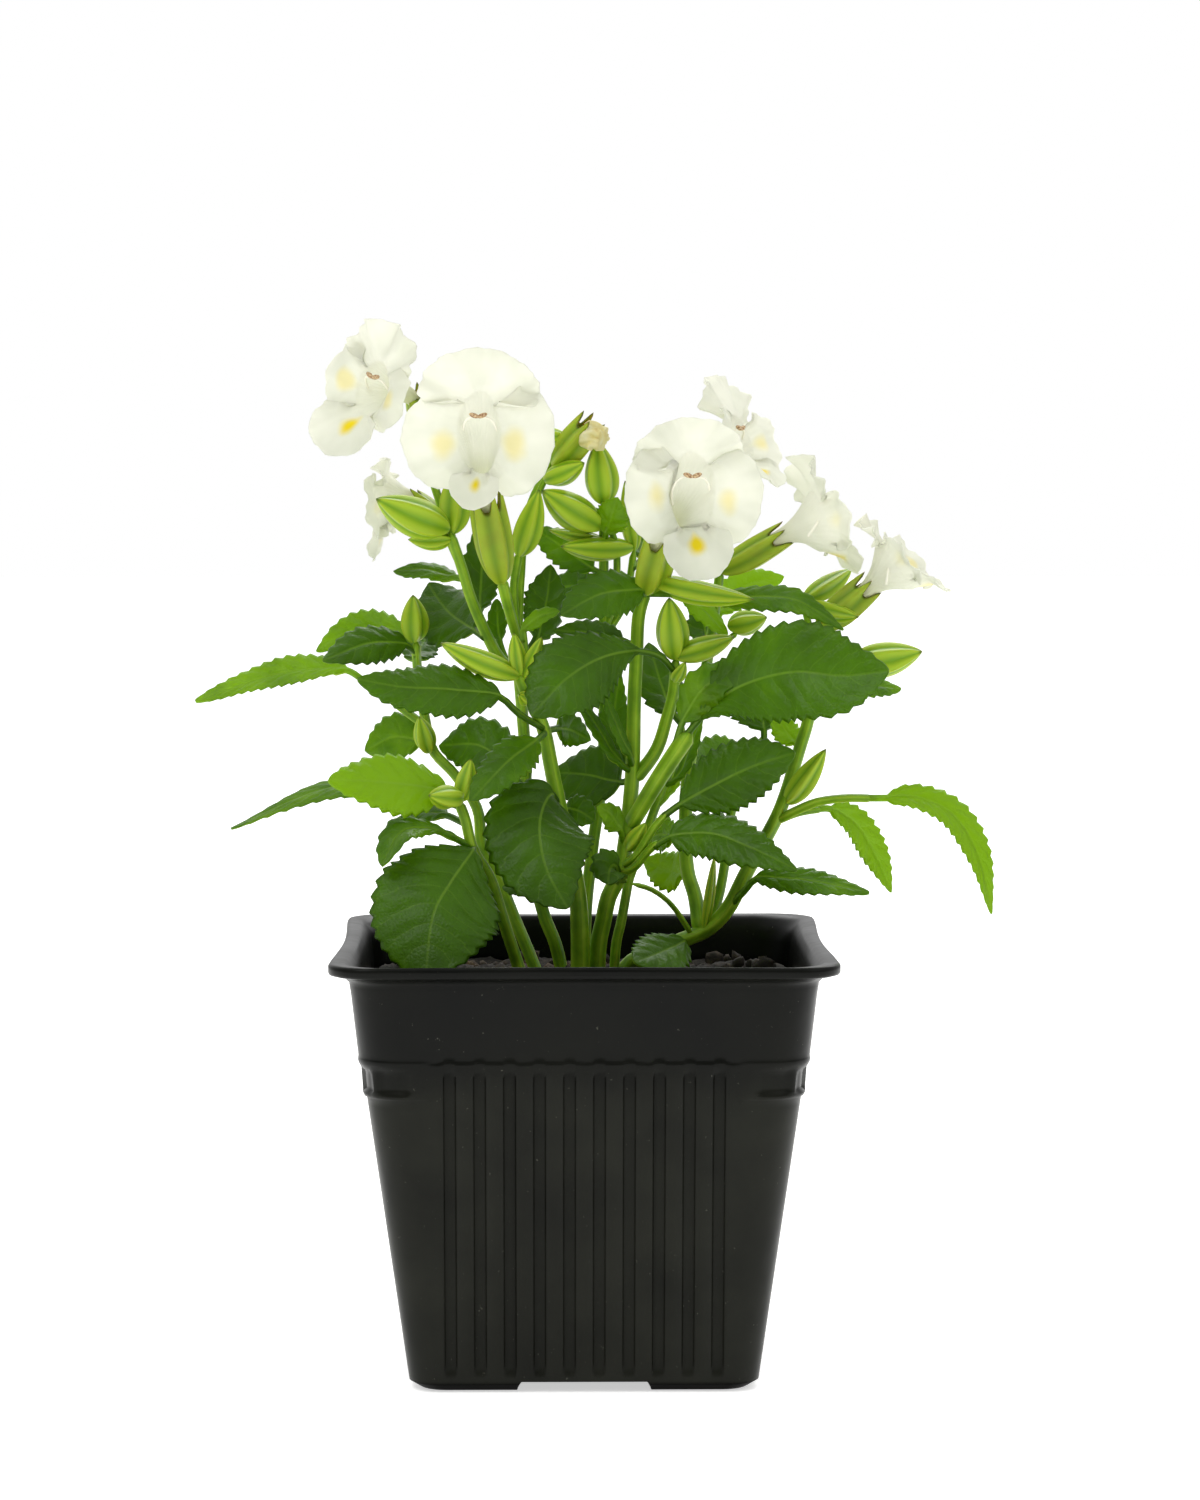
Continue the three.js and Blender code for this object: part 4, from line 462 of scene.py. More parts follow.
def seen(points):
    """Points in millimetres: each slides along its line from EYE to its depth behind the pot's middle."""
    given = np.asarray(points, dtype=float).reshape(-1, 3)
    reach = ((given[:, 2] - EYE[1]) / -EYE[1])[:, None]
    shown = np.stack([given[:, 0], np.zeros(len(given)), given[:, 1]], axis=1)
    return EYE + (shown - EYE) * reach


def unit(vectors):
    """Vectors of length one: each is divided by its own length."""
    length = np.linalg.norm(vectors, axis=-1, keepdims=True)
    return vectors / np.maximum(length, 1e-9)


def square_to(tangents, side):
    """Two directions square to each tangent: side less its part along the tangent, and the cross of both."""
    along = (tangents * side).sum(axis=-1, keepdims=True)
    across = unit(side - tangents * along)
    return across, np.cross(tangents, across)


def traced(points):
    """A centripetal Catmull-Rom curve: cubics whose end slopes are weighed by roots of the points' gaps.

    Returns the points of the line, the share of its length at each and the whole length.
    """
    ends = np.vstack([2 * points[0] - points[1], points, 2 * points[-1] - points[-2]])
    chord = np.diff(ends, axis=0)
    gap = np.sqrt(np.linalg.norm(chord, axis=1))[:, None]
    slope = chord / gap
    joined = (chord[:-1] + chord[1:]) / (gap[:-1] + gap[1:])
    leave = (gap[1:-1] * (slope[:-2] - joined[:-1] + slope[1:-1]))[:, None]
    arrive = (gap[1:-1] * (slope[1:-1] - joined[1:] + slope[2:]))[:, None]
    span = chord[1:-1, None]
    t = (np.arange(STEPS) / STEPS)[None, :, None]
    bend = (3 * span - 2 * leave - arrive) * t**2 + (leave + arrive - 2 * span) * t**3
    line = np.vstack([(ends[1:-2, None] + leave * t + bend).reshape(-1, 3), ends[-2]])
    length = np.concatenate([[0], np.cumsum(np.linalg.norm(np.diff(line, axis=0), axis=1))])
    return line, length / length[-1], length[-1]


def walked(line, share, at):
    """Points of a traced line at given shares of its length, and the line's direction at each."""
    way = np.gradient(line, axis=0)
    spots = np.stack([np.interp(at, share, line[:, axis]) for axis in range(3)], axis=-1)
    return spots, unit(np.stack([np.interp(at, share, way[:, axis]) for axis in range(3)], axis=-1))


def bell(distance, width):
    """A smooth hump: e to the power of minus the square of distance over width."""
    return np.exp(-((distance / width) ** 2))


def step(low, high, value):
    """A smooth step from 0 at low to 1 at high: 3 t squared less 2 t cubed."""
    t = np.clip((value - low) / (high - low), 0, 1)
    return t * t * (3 - 2 * t)


def lofted(rings, **values):
    """A closed skin over rings of points (rows, columns, 3), with a fan to the middle of each end ring.

    values holds three numbers for each point, and each end takes the mean of its ring.
    """
    rows, columns = rings.shape[:2]
    index = np.arange(rows * columns).reshape(rows, columns)
    after = np.roll(index, -1, axis=1)
    quads = np.stack([index[:-1], after[:-1], after[1:], index[1:]], axis=-1).reshape(-1, 4)
    first = np.full(columns, rows * columns)
    fans = np.concatenate(
        [np.stack([first, after[0], index[0]], axis=-1), np.stack([first + 1, index[-1], after[-1]], axis=-1)]
    )
    points = np.vstack([rings.reshape(-1, 3), rings[0].mean(axis=0), rings[-1].mean(axis=0)])
    a, b, c = (points[quads[:, corner]] for corner in range(3))
    d = points[quads[:, 3]]
    volume = (a * (np.cross(b, c) + np.cross(c, d))).sum()
    if volume < 0:
        quads = quads[:, ::-1]
        fans = fans[:, ::-1]
    kept = {
        key: np.vstack([array.reshape(-1, 3), array[0].mean(axis=0), array[-1].mean(axis=0)])
        for key, array in values.items()
    }
    return points, quads, fans, kept


def make_piece(name, skins, material, slot, *nodes):
    """Makes one object from several skins, in place, riding on the body and standing for the named nodes."""
    starts = np.cumsum([0] + [len(skin[0]) for skin in skins[:-1]])
    points = np.vstack([skin[0] for skin in skins]) * MM
    quads = np.vstack([skin[1] + start for skin, start in zip(skins, starts)])
    fans = np.vstack([skin[2] + start for skin, start in zip(skins, starts)])
    corners = np.concatenate([quads.ravel(), fans.ravel()])
    sizes = np.concatenate([np.full(len(quads), 4), np.full(len(fans), 3)])
    mesh = bpy.data.meshes.new(name)
    mesh.vertices.add(len(points))
    mesh.vertices.foreach_set("co", points.ravel())
    mesh.loops.add(len(corners))
    mesh.loops.foreach_set("vertex_index", corners.astype(np.int32))
    mesh.polygons.add(len(sizes))
    mesh.polygons.foreach_set("loop_start", np.concatenate([[0], np.cumsum(sizes)[:-1]]).astype(np.int32))
    mesh.update(calc_edges=True)
    mesh.polygons.foreach_set("use_smooth", np.ones(len(sizes), dtype=bool))
    for key in skins[0][3]:
        attribute = mesh.attributes.new(key, "FLOAT_VECTOR", "POINT")
        attribute.data.foreach_set("vector", np.vstack([skin[3][key] for skin in skins]).ravel())
    mesh.validate()
    mesh.materials.append(material)
    piece = bpy.data.objects.new(name, mesh)
    bpy.context.scene.collection.objects.link(piece)
    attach(piece, "root")
    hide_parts(*nodes)


def shoot(points, start_radius, end_radius):
    """A squarish stem: radius falls evenly from start to end, times 1 plus a tenth of the cosine of 4 angles.

    Both ends are rounded: the radius is also times the root of 1 less a bell of the distance to each end.
    """
    line, share, length = traced(seen(points))
    at = np.linspace(0, 1, max(12, int(length / STEM_STATION)))
    centres, tangents = walked(line, share, at)
    across, up = square_to(tangents, np.array([0.2, -0.9, 0.4]))
    angle = np.linspace(0, 2 * np.pi, STEM_COLUMNS, endpoint=False)
    taper = start_radius + (end_radius - start_radius) * at
    radius = taper[:, None] * (1 + SQUARENESS * np.cos(4 * angle))
    foot_end = np.clip(1 - bell(at * length, 0.3), 0.1, 1)
    tip_end = np.clip(1 - bell((1 - at) * length, 0.4), 0.1, 1)
    out = (radius * np.sqrt(foot_end * tip_end)[:, None])[..., None]
    round_way = across[:, None] * np.cos(angle)[:, None] + up[:, None] * np.sin(angle)[:, None]
    rings = centres[:, None] + out * round_way
    return lofted(rings, place=np.broadcast_to(angle[:, None], rings.shape))


def leaf(shape, tone, phase):
    """A toothed blade on its stalk, a closed shell over stations along it and columns on both faces.

    Half width: half times (v to the rise times (1 - v), over its peak) to the 0.8, less a notch between
    teeth. Rise: cup times the distance from the rib, a groove over the rib, quilted lanes between the side
    veins and a slow wave near the margin. Thickness: a circle's on the stalk, nearly even on the blade. A
    tooth falls back over the first three quarters of its beat and rises again over the last.
    """
    turn = math.radians(shape.get("turn", 0))
    teeth = shape.get("teeth", 5)
    fullest = shape.get("fullest", 0.42)
    cup = shape.get("cup", -0.12)
    stalk = shape["stalk"]
    line, share, length = traced(seen([*stalk, *shape["blade"]]))
    foot = share[STEPS * len(stalk)]
    v = np.concatenate([np.zeros(STALK_RINGS), np.linspace(0, 0.995, max(40, 14 * teeth))])
    blade_at = foot + (1 - foot) * v[STALK_RINGS:]
    at = np.concatenate([np.linspace(0, foot, STALK_RINGS, endpoint=False), blade_at])
    spine, tangent = walked(line, share, at)
    middle = walked(line, share, np.array([(foot + 1) / 2]))[1][0]
    sign = np.sign(middle[0]) if abs(middle[0]) > 0.25 * abs(middle[2]) else -np.sign(middle[2])
    flat = unit(np.stack([-tangent[:, 2], np.zeros(len(at)), tangent[:, 0]], axis=-1)) * sign
    across, _ = square_to(tangent, flat * math.cos(turn) + np.array([0, math.sin(turn), 0]))
    normal = np.cross(tangent, across) * sign

    rise = fullest / (1 - fullest)
    peak = fullest**rise * (1 - fullest)
    half = shape["width"] / 2 / math.cos(turn)
    outline = np.maximum(half * (v**rise * (1 - v) / peak) ** 0.8, STALK_HALF * (1 - v))
    beat = (v * 2 * teeth) % 1
    fall, climb = (TOOTH_PEAK - beat) / TOOTH_PEAK, (beat - TOOTH_PEAK) / (1 - TOOTH_PEAK)
    notch = np.where(beat < TOOTH_PEAK, fall, climb)
    tooth_depth = bpy.context.scene.wishbone_foliage.tooth_depth / MM
    on_blade = step(0, 0.08, v)
    reach = outline - on_blade * notch**1.1 * np.minimum(tooth_depth, 0.18 * outline)

    front = np.linspace(-1, 1, LEAF_COLUMNS)
    between = np.ones(LEAF_COLUMNS - 2)
    s = np.concatenate([front, front[::-1][1:-1]])[None]
    face = np.concatenate([[0], between, [0], -between])[None]
    v, reach, on_blade = v[:, None], reach[:, None], on_blade[:, None]
    x = s * reach
    pairs = max(3, round(length * (1 - foot) / VEIN_GAP))
    lane = (v - 0.2 * np.abs(s) ** 1.3) * pairs
    fade = on_blade * step(0, 0.3, 1 - v)
    hump = np.abs(np.sin(np.pi * lane)) ** 0.8 * np.sin(np.pi * np.abs(s))
    quilt = 0.07 * min(half, 7) * hump * fade
    wave = 0.05 * half * np.sin(2 * np.pi * (1.7 * v + 0.2 * np.sign(s)) + phase) * s**2 * on_blade
    groove = -0.22 * bell(x, 0.45) * fade
    power = 2 + 5 * on_blade
    half_thick = STALK_HALF + (BLADE_HALF - STALK_HALF) * step(0, 0.2, v)
    thick = half_thick * (1 - np.abs(s) ** power) ** (1 / power)
    under_rib = 0.32 * bell(x, 0.5) * on_blade * (1 - v) + 0.1 * bell((lane + 0.5) % 1 - 0.5, 0.1) * fade
    lift = cup * np.abs(x) * on_blade + quilt + wave + groove + face * thick
    lift = lift - np.where(face < 0, under_rib, 0)
    rings = spine[:, None] + across[:, None] * x[..., None] + normal[:, None] * lift[..., None]

    place = np.stack(np.broadcast_arrays(x, lane, v), axis=-1)
    spacing = length * (1 - foot) / pairs
    # kind carries the leaf's tone, which is painted light and shade, then its face and its vein spacing
    kind = np.stack(np.broadcast_arrays(np.full_like(x, tone), face, np.full_like(x, spacing)), axis=-1)
    kind[:STALK_RINGS, :, 1] = 0.3
    return lofted(rings, place=place, kind=kind)


def calyx(foot, tip, width, is_cup, tint):
    """A calyx of five wings: its radius is half the width times a profile along it and a share around it.

    Bud profile: t to the 0.62 times (1 - t) to the 0.85, over its peak. Cup profile: t to the 0.4 times
    (1 - 0.45 t squared), over 0.72, with five teeth that reach past the rim and an inner wall. Share around:
    0.72, and 0.2 of a rounded ridge, and 0.1 of the thin wing on it. Ridge and wing are the 0.8 and the 14
    power of half of 1 plus the cosine of 5 angles.
    """
    low, high = seen([foot, tip])
    length = np.linalg.norm(high - low)
    angle = np.linspace(0, 2 * np.pi, CALYX_COLUMNS, endpoint=False)[None]
    crest = (1 + np.cos(5 * angle)) / 2
    ridge = crest**0.8
    wing = crest**14
    if is_cup:
        outside_t = np.linspace(0.004, 1, CUP_RINGS) ** 1.3
        t = np.concatenate([outside_t, np.linspace(0.97, 0.45, CUP_INNER_RINGS)])[:, None]
        profile = t**0.4 * (1 - 0.45 * t**2) / CUP_PEAK
        inside = np.concatenate([np.zeros(CUP_RINGS), np.linspace(0.35, 0.5, CUP_INNER_RINGS)])[:, None]
        tooth = (0.27 * crest**2.4 - 0.05) * length * step(0.6, 1, t)
    else:
        t = (np.sin(np.linspace(-np.pi / 2, np.pi / 2, BUD_RINGS)) / 2 + 0.5)[:, None] * 0.995 + 0.002
        profile = t**0.62 * (1 - t) ** 0.85 / BUD_PEAK
        inside = np.zeros_like(t)
        tooth = 0
    share = 0.72 + 0.2 * ridge + 0.1 * wing
    radius = np.maximum(width / 2 * profile * share - inside, 0.04)
    axis = unit(high - low)
    across, up = square_to(axis[None], np.array([0.3, -0.8, 0.5]))
    out = across[:, None] * np.cos(angle)[..., None] + up[:, None] * np.sin(angle)[..., None]
    sag = 0.03 * length * np.sin(np.pi * t)
    rings = low + axis * (t * length + tooth)[..., None] + out * radius[..., None]
    rings = rings - np.array([0, 0, 1]) * sag[..., None]
    place = np.stack(np.broadcast_arrays(ridge, wing, t), axis=-1)
    return lofted(rings, place=place, kind=np.full_like(place, tint))


def bloom_frame(shape):
    """The directions to a bloom's right, its top and its front, from its yaw, pitch and roll."""
    yaw, pitch, roll = (math.radians(shape.get(key, 0)) for key in ("yaw", "pitch", "roll"))
    facing = np.array([math.sin(yaw) * math.cos(pitch), -math.cos(yaw) * math.cos(pitch), math.sin(pitch)])
    level = unit(np.cross([0, 0, 1], facing))
    right = level * math.cos(roll) + np.cross(facing, level) * math.sin(roll)
    return right, np.cross(facing, right), facing


def lobe_rim(lobe, u):
    """Places round a lobe's rim, right and up from the bloom's middle, for u from -1 to 1.

    The rim is an ellipse whose far end lies at the lobe's reach, drawn from shoulder to shoulder, with a
    fine frill.
    """
    reach, half, middle = lobe["reach"], math.radians(lobe["half"]), math.radians(lobe["at"])
    breadth = lobe.get("breadth", 0.88 * reach * math.sin(half))
    depth = min(0.6 * (reach - 3), breadth)
    angle = u * math.radians(RIM_TURN)
    frill = 1 + 0.018 * np.sin(breadth * 2.1 * u + lobe["at"]) + 0.012 * np.sin(breadth * 4.6 * u)
    side = np.sin(angle) * breadth * frill
    out = reach - depth + depth * np.cos(angle) * frill
    return out * math.cos(middle) - side * math.sin(middle), out * math.sin(middle) + side * math.cos(middle)


def bloom(shape, phase):
    """A gaping trumpet that opens into lobes, as one sheet with an inner and an outer face.

    Rings run up the inside of the tube and out to the rim, then back down the outside. On the tube a ring is
    an ellipse square to a curved axis. Past the throat each column runs straight from the throat to the
    lobe's rim, and stands forward by: the lobe's lean times the way out, squared; its own rank before its
    neighbours; less a curl to both sides; plus folds that fan out and grow towards the rim. Between two lobes
    the rim comes in to SINUS outside the throat.
    """
    right, up, facing = bloom_frame(shape)
    gape = shape["open"]
    tall = shape.get("tall", TALL)
    ranks = (1.1, -0.8, 1.1, 2.4)
    marks = (0.36, 0, 0.36, 1)
    curls = (1.5, 0.4, 1.5, 1.8)
    folds = (0.55, 1.2, 0.55, 0.45)
    parts = []
    for number, lobe in enumerate(shape["lobes"]):
        u = np.sin(np.linspace(-np.pi / 2, np.pi / 2, LOBE_COLUMNS * lobe["steps"], endpoint=False))
        base = np.radians(lobe["at"] + u * lobe["half"])
        rim_x, rim_z = lobe_rim(lobe, u)
        sinus = gape + SINUS
        pinned = step(0.93, 1, np.abs(u))
        rim_x = rim_x + (sinus * np.cos(base) - rim_x) * pinned
        rim_z = rim_z + (sinus * np.sin(base) * (tall + 1) / 2 - rim_z) * pinned
        free = 1 - pinned
        crease = 1.3 * bell(u, 0.16) if number == 1 else 0 * u
        parts.append(
            np.stack(
                [
                    base, rim_x, rim_z, lobe["lean"] + 0 * u, ranks[number] * free,
                    curls[number] * u**2 * free + crease, folds[number] + 0 * u, u, marks[number] + 0 * u,
                    u * lobe["half"] / 9 + 2 * number,
                ]
            )
        )
    angle, rim_x, rim_z, lean, rank, curl, fold, place_u, mark, beat = np.concatenate(parts, axis=1)

    start, mouth, throat = seen([shape["seat"], shape["mouth"], shape["throat"]])
    tube_t = np.linspace(0, 1, TUBE_RINGS)
    line, share, _ = traced(np.array([start, mouth, throat - facing * 0.6]))
    centre, _ = walked(line, share, tube_t)
    knee = share[STEPS]
    stations = [0, knee, knee + (1 - knee) * 0.5, 1]
    radius = np.interp(tube_t, stations, [TUBE_FOOT, TUBE_MOUTH, gape * TUBE_SHARE, gape])
    radius = radius - 0.1 * gape * np.sin(np.pi * np.clip((tube_t - knee) / (1 - knee), 0, 1))
    turned = step(knee, 1, tube_t)[:, None]
    axis = unit(unit(throat - start) * (1 - turned) + facing * turned)
    side, rise = square_to(axis, right)
    oval = 1 + (tall - 1) * step(knee, 1, tube_t)
    flute = 1 + 0.03 * np.sin(5 * angle + phase)
    tube = (
        centre[:, None]
        + side[:, None] * (radius[:, None] * np.cos(angle) * flute)[..., None]
        + rise[:, None] * ((radius * oval)[:, None] * np.sin(angle) * flute)[..., None]
    )
    way = np.linspace(0, 1, LOBE_RINGS + 1)[1:, None]
    base_x, base_z = gape * np.cos(angle) * flute, gape * tall * np.sin(angle) * flute
    flat_x = base_x + (rim_x - base_x) * way
    flat_z = base_z + (rim_z - base_z) * way
    out = np.hypot(flat_x - base_x, flat_z - base_z)
    ripple = fold * (way**1.4 * np.sin(2.1 * beat + phase) + 0.45 * way**3 * np.sin(5.3 * beat + 2 * phase))
    vein = 0.035 * np.sin(40 * angle + 2 * np.sin(3 * angle)) * way
    forward = lean * out * way + rank * step(0, 0.45, way) - curl * way**1.6
    forward = forward + 1.2 * (1 - np.exp(-way / 0.2)) + ripple + vein
    blade = throat + right * flat_x[..., None] + up * flat_z[..., None] + facing * forward[..., None]
    inner = np.concatenate([tube, blade])
    round_way = np.roll(inner, -1, axis=1) - np.roll(inner, 1, axis=1)
    normal = unit(np.cross(round_way, np.gradient(inner, axis=0)))
    thin = np.full(len(inner), bpy.context.scene.wishbone_blooms.thickness / MM)
    thin[-1] = 0.05
    outer = inner + normal * thin[:, None, None]
    reach = np.concatenate([np.zeros(len(tube_t)), way[:, 0]])
    down_tube = np.concatenate([tube_t, np.ones(len(way))])
    place = np.stack(np.broadcast_arrays(place_u, reach[:, None], angle), axis=-1)
    kind = np.stack(np.broadcast_arrays(mark, down_tube[:, None], np.ones((len(inner), 1))), axis=-1)
    return lofted(
        np.concatenate([inner, outer[::-1]]),
        place=np.concatenate([place, place[::-1]]),
        kind=np.concatenate([kind, kind[::-1] * np.array([1, 1, -1])]),
    )


def stamens(shape):
    """A wishbone of two threads that rise from the throat's sides, bow outwards and meet under the upper lip.

    A thread's stops are given right and up as shares of the throat's half width and height, and forward in
    millimetres. The anthers are two small ellipsoids end to end where the threads meet.
    """
    right, up, facing = bloom_frame(shape)
    throat = seen([shape["throat"]])[0]
    gape, tall = shape["open"], shape.get("tall", TALL)
    angle = np.linspace(0, 2 * np.pi, 10, endpoint=False)
    skins = []
    for hand in (-1, 1):
        stops = np.array(THREAD_STOPS) * np.array([gape * hand, gape * tall, 1])
        points = throat + stops @ np.stack([right, up, facing])
        line, share, _ = traced(points)
        t = np.linspace(0, 1, 24)
        centre, tangent = walked(line, share, t)
        across, above = square_to(tangent, up * 0.3 + facing)
        radius = (0.3 - 0.1 * t)[:, None, None]
        round_way = across[:, None] * np.cos(angle)[:, None] + above[:, None] * np.sin(angle)[:, None]
        rings = centre[:, None] + radius * round_way
        skins.append(lofted(rings, place=np.zeros_like(rings)))
        turn = np.linspace(0.1, np.pi - 0.1, 12)
        middle = points[-1] + right * hand * 0.35 + facing * 0.2
        long_way = unit(right * hand + up * 0.35)
        other = np.cross(long_way, facing)
        along = long_way * (1.05 * np.cos(turn))[:, None, None]
        belt = facing * np.cos(angle)[:, None] + other * np.sin(angle)[:, None]
        rings = middle + along + (0.5 * np.sin(turn))[:, None, None] * belt
        skins.append(lofted(rings, place=np.ones_like(rings)))
    return skins


def spent_corolla():
    """The withered bloom: a cone along the layout's points whose wall is crumpled into lengthwise pleats."""
    line, share, _ = traced(seen(WITHERED))
    t = np.linspace(0, 1, 40)
    centre, tangent = walked(line, share, t)
    across, up = square_to(tangent, np.array([0, -1, 0.2]))
    angle = np.linspace(0, 2 * np.pi, 64, endpoint=False)
    knots = np.linspace(0, 1, len(WITHERED))
    radius = np.interp(t, knots, WITHERED_RADII)[:, None]
    loose = step(0.25, 0.8, t)[:, None]
    folds = 0.16 * np.sin(5 * angle + 3 * t[:, None]) + 0.1 * np.sin(11 * angle - 5 * t[:, None])
    pleat = 1 + loose * (folds - 0.06)
    slump = loose * 0.5 * np.sin(7 * t[:, None] + 2 * np.sin(angle))
    rings = (
        centre[:, None]
        + across[:, None] * (radius * pleat * np.cos(angle) + slump * 0.4)[..., None]
        + up[:, None] * (radius * pleat * np.sin(angle))[..., None]
    )
    return lofted(rings)


def square_ring(half, corner, bow, z, xs, arc):
    """One side of rings of a rounded square: fixed places along it, then the way to the corner.

    Along a side the depth is half less a corner's circle and a bow of a squared cosine. One eighth is
    mirrored to give the side. Returns x along the side, y outwards from the middle, and z.
    """
    half, corner, bow, z = (np.asarray(values, dtype=float)[:, None] for values in (half, corner, bow, z))
    last = xs[-1]
    over = np.clip(last - (half - corner), 0, None)
    begin = np.arcsin(np.clip(over / corner, 0, 0.7))
    flat = np.clip(half - corner - last, 0, None)
    whole = flat + corner * (np.pi / 4 - begin)
    gone = arc[None, 1:] * whole
    bend = begin + np.clip(gone - flat, 0, None) / corner
    round_x = np.where(gone < flat, last + gone, half - corner + corner * np.sin(bend))
    x = np.concatenate([np.broadcast_to(xs[None], (len(half), len(xs))), round_x], axis=1)
    over = np.clip(x - (half - corner), 0, None)
    y = half - corner + np.sqrt(np.clip(corner**2 - over**2, 0, None))
    y = y - bow * np.cos(np.clip(x / (half - corner / 2), 0, 1) * np.pi / 2) ** 2
    side_x = np.concatenate([-x[:, :0:-1], x[:, :-1]], axis=1)
    side_y = np.concatenate([y[:, :0:-1], y[:, :-1]], axis=1)
    return side_x, side_y, z


def full_ring(side_x, side_y, z):
    """The four sides of a ring: the front one turned by quarters."""
    quarters = []
    for turn in range(4):
        cosine, sine = round(math.cos(turn * math.pi / 2)), round(math.sin(turn * math.pi / 2))
        x = side_x * cosine + side_y * sine
        y = side_x * sine - side_y * cosine
        quarters.append(np.stack([x, y, np.broadcast_to(z, x.shape)], axis=-1))
    return np.concatenate(quarters, axis=1)


# The pot's outer face from the foot up and its inner face from the lip down, in millimetres: half width,
# corner radius, bow of a side, height. The shoulder's step begins and ends at two of the outer rows.
POT_OUTSIDE = [
    (31.9, 5, 0, 0), (32.5, 5, 0, 0.15), (33.1, 5, 0, 0.6), (34.8, 6, 0, 1.8), (35.1, 6.1, 0, 4),
    (42.8, 9, 0, 59.3), (43.3, 9, 0, 59.6), (43.6, 9, 0, 60.3), (44, 9.3, 0, 65.5), (44.35, 9.3, 0, 66.2),
    (44.5, 9.3, 0, 66.8), (44.4, 9.3, 0, 67.6), (45.7, 9.4, 0, 79.5), (46.1, 9.5, 0, 82.2),
    (47.1, 9.5, 0.2, 83.3), (48.8, 9.3, 0.8, 83.8), (49.8, 9, 1, 84.2), (50, 9, 1.2, 84.7),
    (50, 9, 1.2, 85.9), (49.7, 9, 1.2, 86.25), (49.2, 9, 1.2, 86.3),
]
POT_INSIDE = [
    (47, 9, 0.9, 86.0), (46.2, 8.8, 0.5, 85.2), (45.4, 8.5, 0.2, 84.2), (44.8, 8.5, 0, 83.0),
    (43.1, 8, 0, 67.4), (42.2, 8, 0, 64), (33.9, 5.5, 0, 4.4), (32.4, 4, 0, 3.4),
]
SHOULDER_FOOT = POT_OUTSIDE[5]
SHOULDER_TOP = POT_OUTSIDE[11]
RIB_PITCH = 5.85
RIB_COUNT = 10
GROOVE_WIDTH = 2.75
GROOVE_DEPTH = 0.75
GROOVE_BOTTOM = 4
GROOVE_TOP = 65
NOTCH_HALF = 13
NOTCH_HEIGHT = 2.2
NOTCH_BLEND = 0.4
PANEL_HALF = 28.4
PANEL_EDGE = (29.5, 31)
RIDGE_Z = 66.4
RECESS_DEPTH = 0.9
FLOOR_TOP = 3.4
LONG_RUN = 40

# The block of potting mix, in millimetres: half width and height of its sides from the floor up, and its top
SOIL_SIDES = [(32.6, 4), (33.5, 6), (37.7, 35), (43.2, 72)]
SOIL_HALF = 43.6
SOIL_CORNER = 8.2
SOIL_TOP = 76.5
CRUMBS = 420
CRUMB_RINGS = 6
CRUMB_COLUMNS = 8


def sampled(profile, gap):
    """Points along a profile's straight lines, at most gap apart, or twice that on a long line."""
    given = np.array(profile, dtype=float)
    length = np.hypot(np.diff(given[:, 0]), np.diff(given[:, 3]))
    counts = np.ceil(length / np.where(length > LONG_RUN, 2 * gap, gap)).astype(int)
    parts = [
        given[i] + (given[i + 1] - given[i]) * np.linspace(0, 1, max(2, counts[i] + 1))[:-1, None]
        for i in range(len(length))
    ]
    return np.vstack([*parts, given[-1:]])


